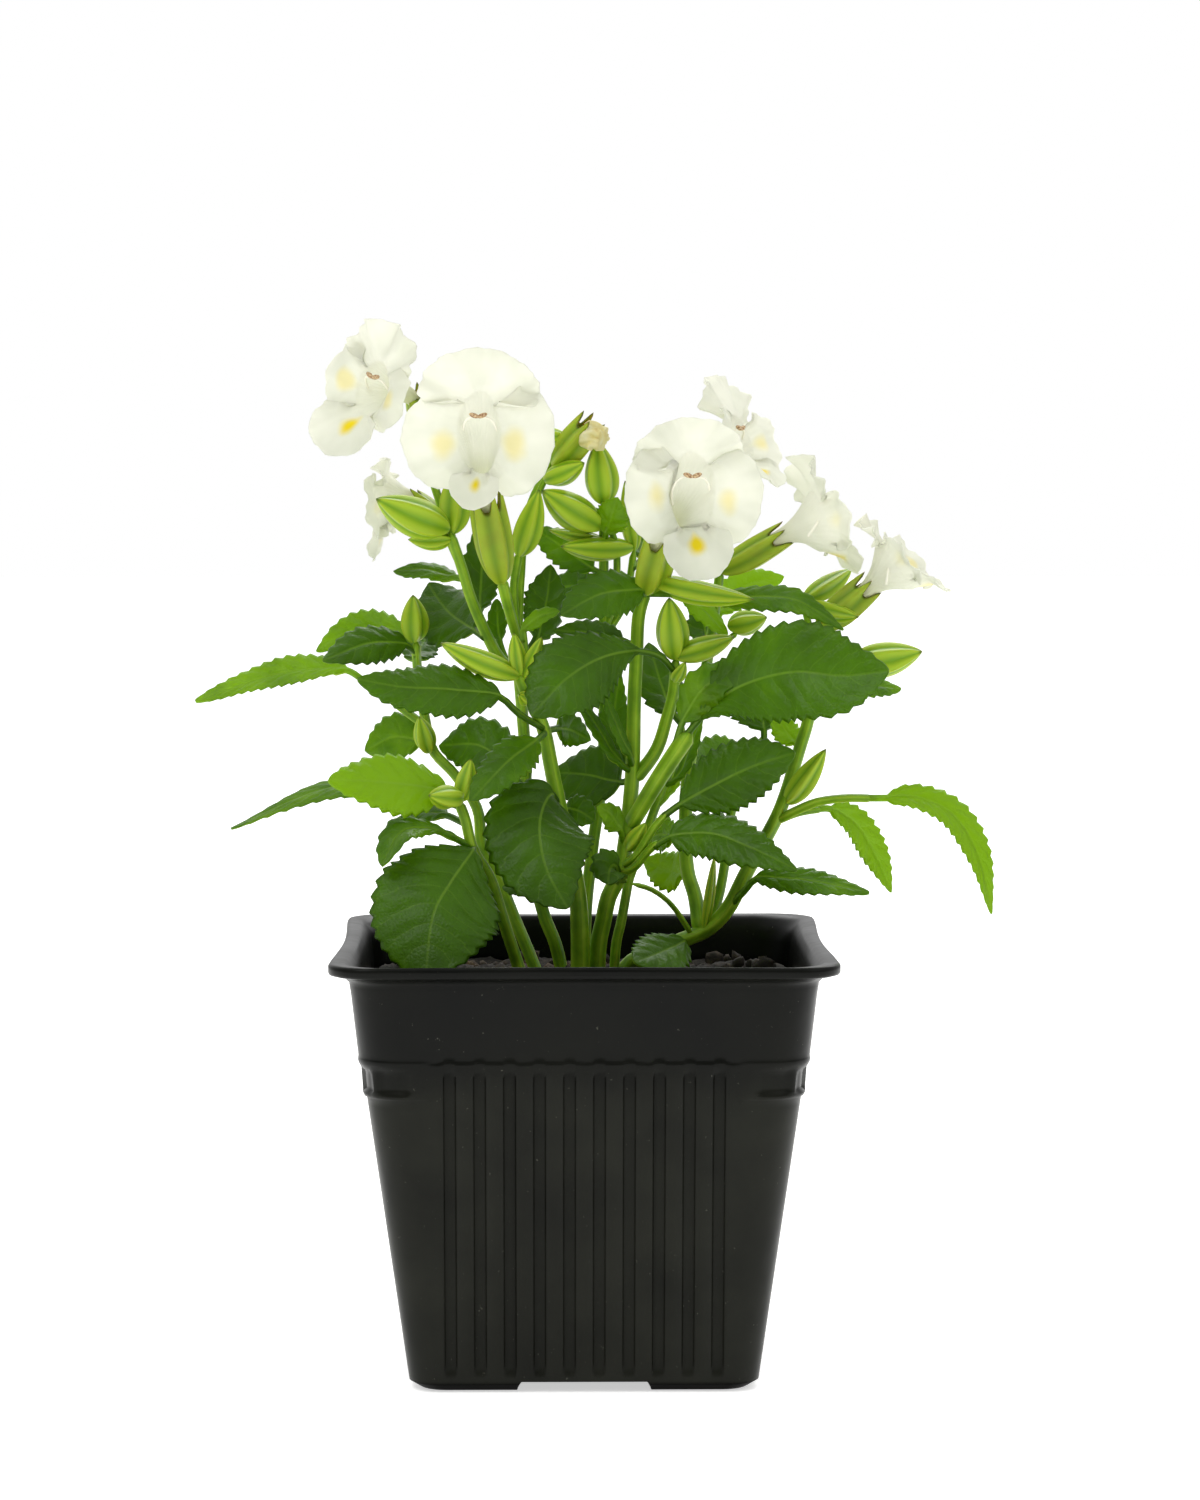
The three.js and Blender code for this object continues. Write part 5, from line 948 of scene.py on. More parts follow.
def pot_skin():
    """The pot's wall, lip and floor as one closed skin of rounded squares.

    From the outer face a row of grooves is taken: depth times a flat-bottomed hump across and a rounded end
    at the top. A wavy ridge stands over them, and the shoulder's step fades out behind the ribbed panel.
    Each corner has a shallow recess under the shoulder, and the foot is notched between its corners.
    """
    edges = np.arange(RIB_COUNT) * RIB_PITCH - (RIB_COUNT - 1) / 2 * RIB_PITCH
    offsets = np.array([-0.5, -0.42, -0.3, 0, 0.3, 0.42, 0.5]) * GROOVE_WIDTH
    notch_xs = [0, NOTCH_HALF - 0.6, NOTCH_HALF, NOTCH_HALF + 0.6]
    side_xs = np.unique(np.round(np.concatenate([(edges[:, None] + offsets).ravel(), notch_xs]), 3))
    xs = np.concatenate([[0], side_xs[side_xs > 1e-6]])
    arc = np.linspace(0, 1, 15)
    outside = sampled(POT_OUTSIDE, 0.8)
    x, y, z = square_ring(outside[:, 0], outside[:, 1], outside[:, 2], outside[:, 3], xs, arc)
    panel = 1 - step(*PANEL_EDGE, np.abs(x))
    low_half, _, _, low_z = SHOULDER_FOOT
    high_half, _, _, high_z = SHOULDER_TOP
    wall = low_half + (z - low_z) * (high_half - low_half) / (high_z - low_z)
    bulge = np.where((z > low_z) & (z < high_z), outside[:, :1] - wall, 0)
    y = y - bulge * panel
    nearest = (x / RIB_PITCH - 0.5 * ((RIB_COUNT + 1) % 2) + 0.5) % 1 - 0.5
    across = np.abs(nearest * RIB_PITCH) / (GROOVE_WIDTH / 2)
    top = GROOVE_TOP - GROOVE_WIDTH / 2 * (1 - np.sqrt(np.clip(1 - across**2, 0, 1)))
    run = step(GROOVE_BOTTOM - 0.5, GROOVE_BOTTOM + 0.5, z) * (1 - step(-0.3, 0.5, z - top))
    hollow = (1 - step(0.72, 1, across)) * run
    depth = bpy.context.scene.wishbone_pot.groove_depth / MM
    y = y - depth * hollow * (np.abs(x) < PANEL_HALF)
    crest = RIDGE_Z + 0.5 * np.cos(2 * np.pi * nearest)
    y = y + 0.5 * bell(z - crest, 0.6) * panel
    wide = step(33.5, 34.5, np.abs(x)) * (1 - step(39.5, 41, np.abs(x)))
    high = step(60.2, 60.9, z) * (1 - step(64.6, 65.3, z))
    y = y - RECESS_DEPTH * wide * high
    raised = NOTCH_HEIGHT * (1 - step(NOTCH_HALF - NOTCH_BLEND, NOTCH_HALF + NOTCH_BLEND, np.abs(x)))
    z = np.where(z < NOTCH_HEIGHT, np.maximum(z, raised), z)
    outer = full_ring(x, y, z)

    inside = sampled(POT_INSIDE, 2.5)
    x, y, z = square_ring(inside[:, 0], inside[:, 1], inside[:, 2], inside[:, 3], xs, arc)
    inner = full_ring(x, y, z)
    flat = np.array([1, 1, 0])
    shares = np.array([0.92, 0.75, 0.5, 0.25, 0.02])[:, None, None]
    floor_inside = inner[-1][None] * flat * shares + np.array([0, 0, FLOOR_TOP])
    shares = np.array([0.02, *np.linspace(0.1, 0.97, 30)])[:, None, None]
    under = outer[0][None] * flat * shares
    gap = np.minimum(np.abs(under[..., 0]), np.abs(under[..., 1]))
    under[..., 2] = NOTCH_HEIGHT * (1 - step(NOTCH_HALF - NOTCH_BLEND, NOTCH_HALF + NOTCH_BLEND, gap))
    return lofted(np.concatenate([under, outer, inner, floor_inside]))


def soil_height(x, y):
    """The potting mix's top: two crossed waves as on the solid, a low mound by the stems and finer lumps."""
    lumps = np.sin(0.31 * x + 1.3) * np.cos(0.27 * y) + 0.6 * np.sin(0.61 * y - 0.23 * x + 2)
    fine = 0.35 * np.sin(1.9 * x + 2.3 * np.sin(0.8 * y)) * np.cos(2.1 * y - 1.4 * np.sin(0.9 * x))
    grain = 0.16 * np.sin(5.3 * x + 1.7 * y + 3 * np.sin(1.3 * y)) * np.cos(4.7 * y - 2.1 * x)
    level = bpy.context.scene.wishbone_pot.soil_top / MM
    return level + 1.1 * lumps + fine + grain + 1.6 * np.exp(-(x * x + y * y) / 260)


def soil_skin():
    """The potting mix: a block inside the pot, whose lumpy top shrinks in rounded squares to the middle."""
    xs = np.linspace(0, 29, 30)
    arc = np.linspace(0, 1, 18)
    half, height = np.array(SOIL_SIDES).T
    wall = full_ring(*square_ring(half, half * 0.18, half * 0, height, xs, arc))
    rim = full_ring(*square_ring([SOIL_HALF], [SOIL_CORNER], [0], [0], xs, arc))[0]
    shrink = np.linspace(1, 0.01, 84)[:, None, None]
    top = rim[None] * shrink
    top[..., 2] = soil_height(top[..., 0], top[..., 1]) - 1.5 * step(0.97, 1, shrink[..., 0])
    rings = np.concatenate([wall, top])
    return lofted(rings, place=np.zeros_like(rings))


def crumbs():
    """Bark crumbs and peat lumps on the mix: small squashed balls, turned and sized by a seeded generator."""
    rng = np.random.default_rng(11)
    reach = SOIL_HALF - 2.1
    spots = rng.uniform(-reach, reach, (CRUMBS, 2))
    size = rng.uniform(0.45, 1.5, CRUMBS) ** 1.5
    stretch = rng.uniform(0.5, 1.5, (CRUMBS, 3))
    t = np.linspace(0.12, np.pi - 0.12, CRUMB_RINGS)[:, None]
    angle = np.linspace(0, 2 * np.pi, CRUMB_COLUMNS, endpoint=False)
    x, y, z = np.sin(t) * np.cos(angle), np.sin(t) * np.sin(angle), np.cos(t)
    ball = np.stack(np.broadcast_arrays(x, y, z), axis=-1)
    bumps = 1 + rng.uniform(-0.25, 0.25, (CRUMBS, CRUMB_RINGS, CRUMB_COLUMNS, 1))
    turns = np.linalg.qr(rng.normal(size=(CRUMBS, 3, 3)))[0]
    shape = ball[None] * bumps * (size[:, None] * stretch)[:, None, None]
    shape = np.einsum("nrck,nkj->nrcj", shape, turns)
    shape[..., 0] += spots[:, 0, None, None]
    shape[..., 1] += spots[:, 1, None, None]
    shape[..., 2] += (soil_height(spots[:, 0], spots[:, 1]) + 0.25 * size)[:, None, None]
    tones = rng.uniform(0, 1, CRUMBS)
    return [lofted(rings, place=np.full(rings.shape, tone)) for rings, tone in zip(shape, tones)]


# Materials
def linear(code):
    """An sRGB hex colour as linear values: below 0.04 divided by 12.92, above by the 2.4 power curve."""
    values = [int(code[i : i + 2], 16) / 255 for i in (1, 3, 5)]
    return tuple(v / 12.92 if v <= 0.04045 else ((v + 0.055) / 1.055) ** 2.4 for v in values) + (1.0,)


def per_metre(size):
    """How many features of a size in millimetres fit in a metre, which is what a pattern's Scale counts."""
    return 1 / (size * MM)


def add_node(tree, kind, inputs=None, stops=None, **settings):
    """Adds a node with its settings, and sets or links its inputs. stops are the colours along a ramp."""
    made = tree.nodes.new(kind)
    for key, value in settings.items():
        setattr(made, key, value)
    for key, value in (inputs or {}).items():
        if isinstance(value, bpy.types.NodeSocket):
            tree.links.new(value, made.inputs[key])
        else:
            made.inputs[key].default_value = value
    for number, (position, colour) in enumerate(stops or []):
        points = made.color_ramp.elements
        point = points[number] if number < len(points) else points.new(position)
        point.position = position
        point.color = colour
    return made


def new_material(name):
    """An empty material with its node tree and its output node."""
    material = bpy.data.materials.new(name)
    material.use_nodes = True
    tree = material.node_tree
    tree.nodes.clear()
    return material, tree, tree.nodes.new("ShaderNodeOutputMaterial")


def pot_plastic():
    """Polypropylene, thermoformed from recycled black sheet: satin gloss and slight waves.

    The wall below the shoulder is greyer and the band under the lip darker, partly from dust haze and
    partly as painted shade from the lip. Painted shade darkens corners and grooves and dulls their gloss.
    """
    material, tree, output = new_material("polypropylene_thermoformed")
    colours = bpy.context.scene.wishbone_pot
    where = add_node(tree, "ShaderNodeTexCoord").outputs["Object"]
    # The sheet stretched unevenly over some 17 mm and rippled every 9 mm as it cooled. Dust specks are
    # finer than 1.1 mm, and are drawn as coarse as they need to show.
    cloud = add_node(tree, "ShaderNodeTexNoise", {"Vector": where, "Scale": per_metre(16.7), "Detail": 3.0})
    scuff = add_node(
        tree, "ShaderNodeTexNoise",
        {"Vector": where, "Scale": per_metre(1.11), "Detail": 2.0, "Roughness": 0.7},
    )
    dust = add_node(
        tree, "ShaderNodeMapRange", {0: scuff.outputs["Fac"], 1: 0.7, 2: 0.8},
        interpolation_type="SMOOTHSTEP",
    )
    place = add_node(tree, "ShaderNodeSeparateXYZ", {0: where})
    # Painted shade, partly dust haze: the wall is lighter below the shoulder and darker in the band under the
    # lip
    dust_haze_and_lip_shade = add_node(
        tree, "ShaderNodeMapRange", {0: place.outputs[2], 1: 0.056, 2: 0.07, 3: 0.36, 4: 0.0},
        interpolation_type="SMOOTHSTEP",
    )
    tone = add_node(
        tree, "ShaderNodeMath", {0: cloud.outputs["Fac"], 1: 0.6, 2: dust_haze_and_lip_shade.outputs[0]},
        operation="MULTIPLY_ADD",
    )
    body = add_node(
        tree, "ShaderNodeValToRGB", {0: tone.outputs[0]},
        stops=[(0.2, linear("#060705")), (0.5, (*colours.plastic,)), (0.85, linear("#22231c"))],
    )
    dusty = add_node(
        tree, "ShaderNodeMix", {0: dust.outputs[0], 6: body.outputs[0], 7: linear("#4a4a42")},
        data_type="RGBA",
    )
    # Painted shade: corners and grooves narrower than 3 mm, found by ambient occlusion, are darkened and
    # their gloss lowered
    corner = add_node(tree, "ShaderNodeAmbientOcclusion", {"Distance": 0.003}, samples=8)
    painted_corner_shade = add_node(
        tree, "ShaderNodeMapRange", {0: corner.outputs["AO"], 1: 0.5, 2: 0.92, 3: 0.95, 4: 0.0},
        interpolation_type="SMOOTHSTEP",
    )
    # Painted shade: the near-black colour laid into corners and grooves
    with_corner_shade = add_node(
        tree, "ShaderNodeMix", {0: painted_corner_shade.outputs[0], 6: dusty.outputs[2], 7: linear("#030302")},
        data_type="RGBA",
    )
    # Painted shade: less gloss in corners and grooves
    gloss = add_node(
        tree, "ShaderNodeMapRange", {0: corner.outputs["AO"], 1: 0.5, 2: 0.92, 3: 0.01, 4: 0.12},
    )
    rough = add_node(tree, "ShaderNodeMapRange", {0: cloud.outputs["Fac"], 3: 0.24, 4: 0.4})
    waves = add_node(tree, "ShaderNodeTexNoise", {"Vector": where, "Scale": per_metre(9.1), "Detail": 2.0})
    bump = add_node(
        tree, "ShaderNodeBump", {"Height": waves.outputs["Fac"], "Strength": 0.35, "Distance": 0.0006},
    )
    shader = add_node(
        tree, "ShaderNodeBsdfPrincipled",
        {"Base Color": with_corner_shade.outputs[2], "Roughness": rough.outputs[0], "Normal": bump.outputs[0],
         "IOR": 1.49, "Specular IOR Level": gloss.outputs[0]},
    )
    tree.links.new(shader.outputs[0], output.inputs[0])
    return material


def potting_mix():
    """Peat and composted bark, damp: nearly black between fibrous brown crumbs, with no gloss."""
    material, tree, output = new_material("peat_and_bark_mix")
    where = add_node(tree, "ShaderNodeTexCoord").outputs["Object"]
    # Peat crumbs of about 2.4 mm, each broken up by finer fibres
    crumb = add_node(
        tree, "ShaderNodeTexNoise",
        {"Vector": where, "Scale": per_metre(2.38), "Detail": 5.0, "Roughness": 0.65},
    )
    tone = add_node(tree, "ShaderNodeAttribute", attribute_name="place")
    mixed = add_node(
        tree, "ShaderNodeMath", {0: tone.outputs["Fac"], 1: 0.35, 2: crumb.outputs["Fac"]},
        operation="MULTIPLY_ADD",
    )
    body = add_node(
        tree, "ShaderNodeValToRGB", {0: mixed.outputs[0]},
        stops=[
            (0.35, linear("#0b0906")), (0.55, linear("#1d1710")), (0.8, linear("#3d3020")),
            (0.95, linear("#665139")),
        ],
    )
    bump = add_node(
        tree, "ShaderNodeBump", {"Height": crumb.outputs["Fac"], "Strength": 0.8, "Distance": 0.0008},
    )
    shader = add_node(
        tree, "ShaderNodeBsdfPrincipled",
        {"Base Color": body.outputs[0], "Roughness": 0.92, "Normal": bump.outputs[0]},
    )
    tree.links.new(shader.outputs[0], output.inputs[0])
    return material


def leaf_blade():
    """Living leaf: thin, so light behind it turns it yellow-green; waxy sheen above, matt and paler below."""
    material, tree, output = new_material("leaf_blade_waxy")
    colours = bpy.context.scene.wishbone_foliage
    where = add_node(tree, "ShaderNodeTexCoord").outputs["Object"]
    stored = add_node(tree, "ShaderNodeAttribute", attribute_name="place")
    place = add_node(tree, "ShaderNodeSeparateXYZ", {0: stored.outputs["Vector"]})
    stored = add_node(tree, "ShaderNodeAttribute", attribute_name="kind")
    kind = add_node(tree, "ShaderNodeSeparateXYZ", {0: stored.outputs["Vector"]})
    # Darker and lighter patches about 9 mm wide
    patch = add_node(tree, "ShaderNodeTexNoise", {"Vector": where, "Scale": per_metre(9.1), "Detail": 4.0})
    # Each leaf's tone from kind is painted light and shade: low for a leaf in shade, high for one lit from
    # behind
    tone = add_node(
        tree, "ShaderNodeMath", {0: patch.outputs["Fac"], 1: 0.65, 2: kind.outputs[0]},
        operation="MULTIPLY_ADD",
    )
    above = add_node(
        tree, "ShaderNodeValToRGB", {0: tone.outputs[0]},
        stops=[(0.1, (*colours.leaf_in_shade,)), (0.65, linear("#4c7806")), (1.0, (*colours.bright,))],
    )
    below = add_node(
        tree, "ShaderNodeValToRGB", {0: tone.outputs[0]},
        stops=[(0.1, linear("#64882c")), (1.0, linear("#9cba3c"))],
    )
    upper = add_node(tree, "ShaderNodeMath", {0: kind.outputs[1], 1: 0.0}, operation="GREATER_THAN")
    face = add_node(
        tree, "ShaderNodeMix", {0: upper.outputs[0], 6: below.outputs[0], 7: above.outputs[0]},
        data_type="RGBA",
    )
    aside = add_node(tree, "ShaderNodeMath", {0: place.outputs[0]}, operation="ABSOLUTE")
    rib = add_node(
        tree, "ShaderNodeMapRange", {0: aside.outputs[0], 1: 0.1, 2: 0.4, 3: 0.5, 4: 0.0},
        interpolation_type="SMOOTHSTEP",
    )
    lane = add_node(tree, "ShaderNodeMath", {0: place.outputs[1], 1: 0.5}, operation="ADD")
    beat = add_node(tree, "ShaderNodeMath", {0: lane.outputs[0]}, operation="FRACT")
    off = add_node(tree, "ShaderNodeMath", {0: beat.outputs[0], 1: 0.5}, operation="SUBTRACT")
    size = add_node(tree, "ShaderNodeMath", {0: off.outputs[0]}, operation="ABSOLUTE")
    gap = add_node(tree, "ShaderNodeMath", {0: size.outputs[0], 1: kind.outputs[2]}, operation="MULTIPLY")
    vein = add_node(
        tree, "ShaderNodeMapRange", {0: gap.outputs[0], 1: 0.02, 2: 0.25, 3: 0.13, 4: 0.0},
        interpolation_type="SMOOTHSTEP",
    )
    fade = add_node(tree, "ShaderNodeMapRange", {0: place.outputs[2], 1: 0.3, 2: 1.0, 3: 1.0, 4: 0.25})
    ribs = add_node(tree, "ShaderNodeMath", {0: rib.outputs[0], 1: fade.outputs[0]}, operation="MULTIPLY")
    lines = add_node(tree, "ShaderNodeMath", {0: ribs.outputs[0], 1: vein.outputs[0]}, operation="MAXIMUM")
    ribbed = add_node(
        tree, "ShaderNodeMix", {0: lines.outputs[0], 6: face.outputs[2], 7: (*colours.rib,)},
        data_type="RGBA",
    )
    # Leaf cells are far finer than 0.9 mm, and are drawn as coarse as they need to show
    cells = add_node(
        tree, "ShaderNodeTexVoronoi", {"Vector": where, "Scale": per_metre(0.91)},
        feature="DISTANCE_TO_EDGE",
    )
    grain = add_node(
        tree, "ShaderNodeMath", {0: cells.outputs[0], 1: lines.outputs[0]}, operation="SUBTRACT",
    )
    bump = add_node(
        tree, "ShaderNodeBump", {"Height": grain.outputs[0], "Strength": 0.3, "Distance": 0.0004},
    )
    rough = add_node(tree, "ShaderNodeMapRange", {0: kind.outputs[1], 1: -0.2, 2: 0.2, 3: 0.6, 4: 0.36})
    shader = add_node(
        tree, "ShaderNodeBsdfPrincipled",
        {"Base Color": ribbed.outputs[2], "Roughness": rough.outputs[0], "Normal": bump.outputs[0],
         "IOR": 1.42, "Specular IOR Level": 0.36},
    )
    through = add_node(
        tree, "ShaderNodeHueSaturation",
        {"Color": ribbed.outputs[2], "Hue": 0.475, "Saturation": 1.15, "Value": 1.9},
    )
    glow = add_node(
        tree, "ShaderNodeBsdfTranslucent", {"Color": through.outputs[0], "Normal": bump.outputs[0]},
    )
    both = add_node(tree, "ShaderNodeMixShader", {0: 0.42, 1: shader.outputs[0], 2: glow.outputs[0]})
    tree.links.new(both.outputs[0], output.inputs[0])
    return material


def green_stem():
    """Living stem: juicy and slightly clear, pale green with lighter ridges along it."""
    material, tree, output = new_material("stem_juicy_green")
    colours = bpy.context.scene.wishbone_foliage
    where = add_node(tree, "ShaderNodeTexCoord").outputs["Object"]
    stored = add_node(tree, "ShaderNodeAttribute", attribute_name="place")
    place = add_node(tree, "ShaderNodeSeparateXYZ", {0: stored.outputs["Vector"]})
    spread = add_node(tree, "ShaderNodeMath", {0: place.outputs[0], 1: 4.0}, operation="MULTIPLY")
    ridge = add_node(tree, "ShaderNodeMath", {0: spread.outputs[0]}, operation="COSINE")
    # Slight mottling, about 4.6 mm wide, and four paler ridges round the stem
    patch = add_node(tree, "ShaderNodeTexNoise", {"Vector": where, "Scale": per_metre(4.55), "Detail": 3.0})
    tone = add_node(
        tree, "ShaderNodeMath", {0: ridge.outputs[0], 1: 0.22, 2: patch.outputs["Fac"]},
        operation="MULTIPLY_ADD",
    )
    body = add_node(
        tree, "ShaderNodeValToRGB", {0: tone.outputs[0]},
        stops=[(0.2, linear("#5c8410")), (0.5, (*colours.stem,)), (0.85, linear("#94b62c"))],
    )
    bump = add_node(
        tree, "ShaderNodeBump", {"Height": patch.outputs["Fac"], "Strength": 0.2, "Distance": 0.0003},
    )
    shader = add_node(
        tree, "ShaderNodeBsdfPrincipled",
        {"Base Color": body.outputs[0], "Roughness": 0.45, "Normal": bump.outputs[0], "IOR": 1.4,
         "Specular IOR Level": 0.3, "Subsurface Weight": 0.2, "Subsurface Scale": 0.001},
    )
    tree.links.new(shader.outputs[0], output.inputs[0])
    return material


def calyx_skin():
    """Living calyx: inflated, with darker flanks, paler ridges and wing edges and a dark fine tip."""
    material, tree, output = new_material("calyx_winged_green")
    colours = bpy.context.scene.wishbone_foliage
    where = add_node(tree, "ShaderNodeTexCoord").outputs["Object"]
    stored = add_node(tree, "ShaderNodeAttribute", attribute_name="place")
    place = add_node(tree, "ShaderNodeSeparateXYZ", {0: stored.outputs["Vector"]})
    stored = add_node(tree, "ShaderNodeAttribute", attribute_name="kind")
    kind = add_node(tree, "ShaderNodeSeparateXYZ", {0: stored.outputs["Vector"]})
    # Mottling about 3.9 mm wide
    patch = add_node(tree, "ShaderNodeTexNoise", {"Vector": where, "Scale": per_metre(3.85), "Detail": 3.0})
    tone = add_node(
        tree, "ShaderNodeMath", {0: patch.outputs["Fac"], 1: 0.3, 2: place.outputs[0]},
        operation="MULTIPLY_ADD",
    )
    panels = add_node(
        tree, "ShaderNodeValToRGB", {0: tone.outputs[0]},
        stops=[(0.15, linear("#6e9a16")), (0.55, (*colours.panel,)), (1.0, linear("#a0bd2a"))],
    )
    edge = add_node(
        tree, "ShaderNodeMapRange", {0: place.outputs[1], 1: 0.6, 2: 1.0, 4: 0.28},
        interpolation_type="SMOOTHSTEP",
    )
    winged = add_node(
        tree, "ShaderNodeMix", {0: edge.outputs[0], 6: panels.outputs[0], 7: linear("#acc22e")},
        data_type="RGBA",
    )
    end = add_node(
        tree, "ShaderNodeMapRange", {0: place.outputs[2], 1: 0.93, 2: 1.0}, interpolation_type="SMOOTHSTEP",
    )
    tipped = add_node(
        tree, "ShaderNodeMix", {0: end.outputs[0], 6: winged.outputs[2], 7: linear("#3f5a14")},
        data_type="RGBA",
    )
    flush = add_node(
        tree, "ShaderNodeMath", {0: kind.outputs[0], 1: patch.outputs["Fac"]}, operation="MULTIPLY",
    )
    flushed = add_node(
        tree, "ShaderNodeMix", {0: flush.outputs[0], 6: tipped.outputs[2], 7: linear("#6c6214")},
        data_type="RGBA",
    )
    bump = add_node(
        tree, "ShaderNodeBump", {"Height": patch.outputs["Fac"], "Strength": 0.2, "Distance": 0.0003},
    )
    shader = add_node(
        tree, "ShaderNodeBsdfPrincipled",
        {"Base Color": flushed.outputs[2], "Roughness": 0.45, "Normal": bump.outputs[0], "IOR": 1.4,
         "Specular IOR Level": 0.35, "Subsurface Weight": 0.2, "Subsurface Scale": 0.0015},
    )
    tree.links.new(shader.outputs[0], output.inputs[0])
    return material


def petal_skin():
    """Living petal: cool white, thin and translucent, with faint fan veins and yellow marks by the throat."""
    material, tree, output = new_material("petal_thin_white")
    colours = bpy.context.scene.wishbone_blooms
    where = add_node(tree, "ShaderNodeTexCoord").outputs["Object"]
    stored = add_node(tree, "ShaderNodeAttribute", attribute_name="place")
    place = add_node(tree, "ShaderNodeSeparateXYZ", {0: stored.outputs["Vector"]})
    stored = add_node(tree, "ShaderNodeAttribute", attribute_name="kind")
    kind = add_node(tree, "ShaderNodeSeparateXYZ", {0: stored.outputs["Vector"]})
    # Soft shades about 7.7 mm wide, and 34 veins counted round the bloom
    soft = add_node(tree, "ShaderNodeTexNoise", {"Vector": where, "Scale": per_metre(7.7), "Detail": 2.0})
    fan = add_node(tree, "ShaderNodeMath", {0: place.outputs[2], 1: 34.0}, operation="MULTIPLY")
    fans = add_node(tree, "ShaderNodeMath", {0: fan.outputs[0]}, operation="SINE")
    body = add_node(
        tree, "ShaderNodeValToRGB", {0: soft.outputs["Fac"]},
        stops=[(0.3, linear("#eeefe4")), (0.7, (*colours.petal,))],
    )
    tube = add_node(
        tree, "ShaderNodeMapRange", {0: kind.outputs[1], 1: 0.1, 2: 0.8, 3: 0.7, 4: 0.0},
        interpolation_type="SMOOTHSTEP",
    )
    tubed = add_node(
        tree, "ShaderNodeMix", {0: tube.outputs[0], 6: body.outputs[0], 7: linear("#e8eab8")},
        data_type="RGBA",
    )
    # A round blotch on the lobe's middle line, 0.3 of the way out, with an edge made ragged by the soft
    # shades
    aside = add_node(tree, "ShaderNodeMath", {0: place.outputs[0], 1: 2.9}, operation="MULTIPLY")
    way = add_node(tree, "ShaderNodeMath", {0: place.outputs[1], 1: 0.3}, operation="SUBTRACT")
    ahead = add_node(tree, "ShaderNodeMath", {0: way.outputs[0], 1: 3.4}, operation="MULTIPLY")
    spot = add_node(tree, "ShaderNodeCombineXYZ", {0: aside.outputs[0], 1: ahead.outputs[0]})
    far = add_node(tree, "ShaderNodeVectorMath", {0: spot.outputs[0]}, operation="LENGTH")
    ragged = add_node(
        tree, "ShaderNodeMath", {0: soft.outputs["Fac"], 1: 1.2, 2: far.outputs["Value"]},
        operation="MULTIPLY_ADD",
    )
    blotch = add_node(
        tree, "ShaderNodeMapRange", {0: ragged.outputs[0], 1: 0.75, 2: 1.65, 3: 1.0, 4: 0.0},
        interpolation_type="SMOOTHSTEP",
    )
    inner = add_node(tree, "ShaderNodeMath", {0: kind.outputs[2], 1: 0.0}, operation="GREATER_THAN")
    strength = add_node(
        tree, "ShaderNodeMath", {0: blotch.outputs[0], 1: kind.outputs[0]}, operation="MULTIPLY",
    )
    marked = add_node(
        tree, "ShaderNodeMath", {0: strength.outputs[0], 1: inner.outputs[0]}, operation="MULTIPLY",
    )
    spotted = add_node(
        tree, "ShaderNodeMix", {0: marked.outputs[0], 6: tubed.outputs[2], 7: (*colours.spot,)},
        data_type="RGBA",
    )
    relief = add_node(tree, "ShaderNodeMath", {0: fans.outputs[0], 1: soft.outputs["Fac"]}, operation="ADD")
    bump = add_node(
        tree, "ShaderNodeBump", {"Height": relief.outputs[0], "Strength": 0.2, "Distance": 0.0002},
    )
    shader = add_node(
        tree, "ShaderNodeBsdfPrincipled",
        {"Base Color": spotted.outputs[2], "Roughness": 0.55, "Normal": bump.outputs[0], "IOR": 1.38,
         "Sheen Weight": 0.15, "Sheen Roughness": 0.5},
    )
    glow = add_node(
        tree, "ShaderNodeBsdfTranslucent", {"Color": spotted.outputs[2], "Normal": bump.outputs[0]},
    )
    both = add_node(tree, "ShaderNodeMixShader", {0: 0.58, 1: shader.outputs[0], 2: glow.outputs[0]})
    tree.links.new(both.outputs[0], output.inputs[0])
    return material


def stamen_skin():
    """Living stamens: pale glossy threads, and anthers dusted with buff pollen over a brown seam."""
    material, tree, output = new_material("stamen_thread_and_anther")
    where = add_node(tree, "ShaderNodeTexCoord").outputs["Object"]
    part = add_node(tree, "ShaderNodeAttribute", attribute_name="place")
    # Pollen is finer than 0.4 mm, and is drawn as coarse as it needs to show
    dust = add_node(tree, "ShaderNodeTexNoise", {"Vector": where, "Scale": per_metre(0.385), "Detail": 2.0})
    anther = add_node(
        tree, "ShaderNodeValToRGB", {0: dust.outputs["Fac"]},
        stops=[(0.38, linear("#8a5f3a")), (0.62, linear("#d9bf93"))],
    )
    body = add_node(
        tree, "ShaderNodeMix", {0: part.outputs["Fac"], 6: linear("#f6f3e4"), 7: anther.outputs[0]},
        data_type="RGBA",
    )
    bump = add_node(
        tree, "ShaderNodeBump", {"Height": dust.outputs["Fac"], "Strength": 0.3, "Distance": 0.0002},
    )
    shader = add_node(
        tree, "ShaderNodeBsdfPrincipled",
        {"Base Color": body.outputs[2], "Roughness": 0.5, "Normal": bump.outputs[0]},
    )
    tree.links.new(shader.outputs[0], output.inputs[0])
    return material


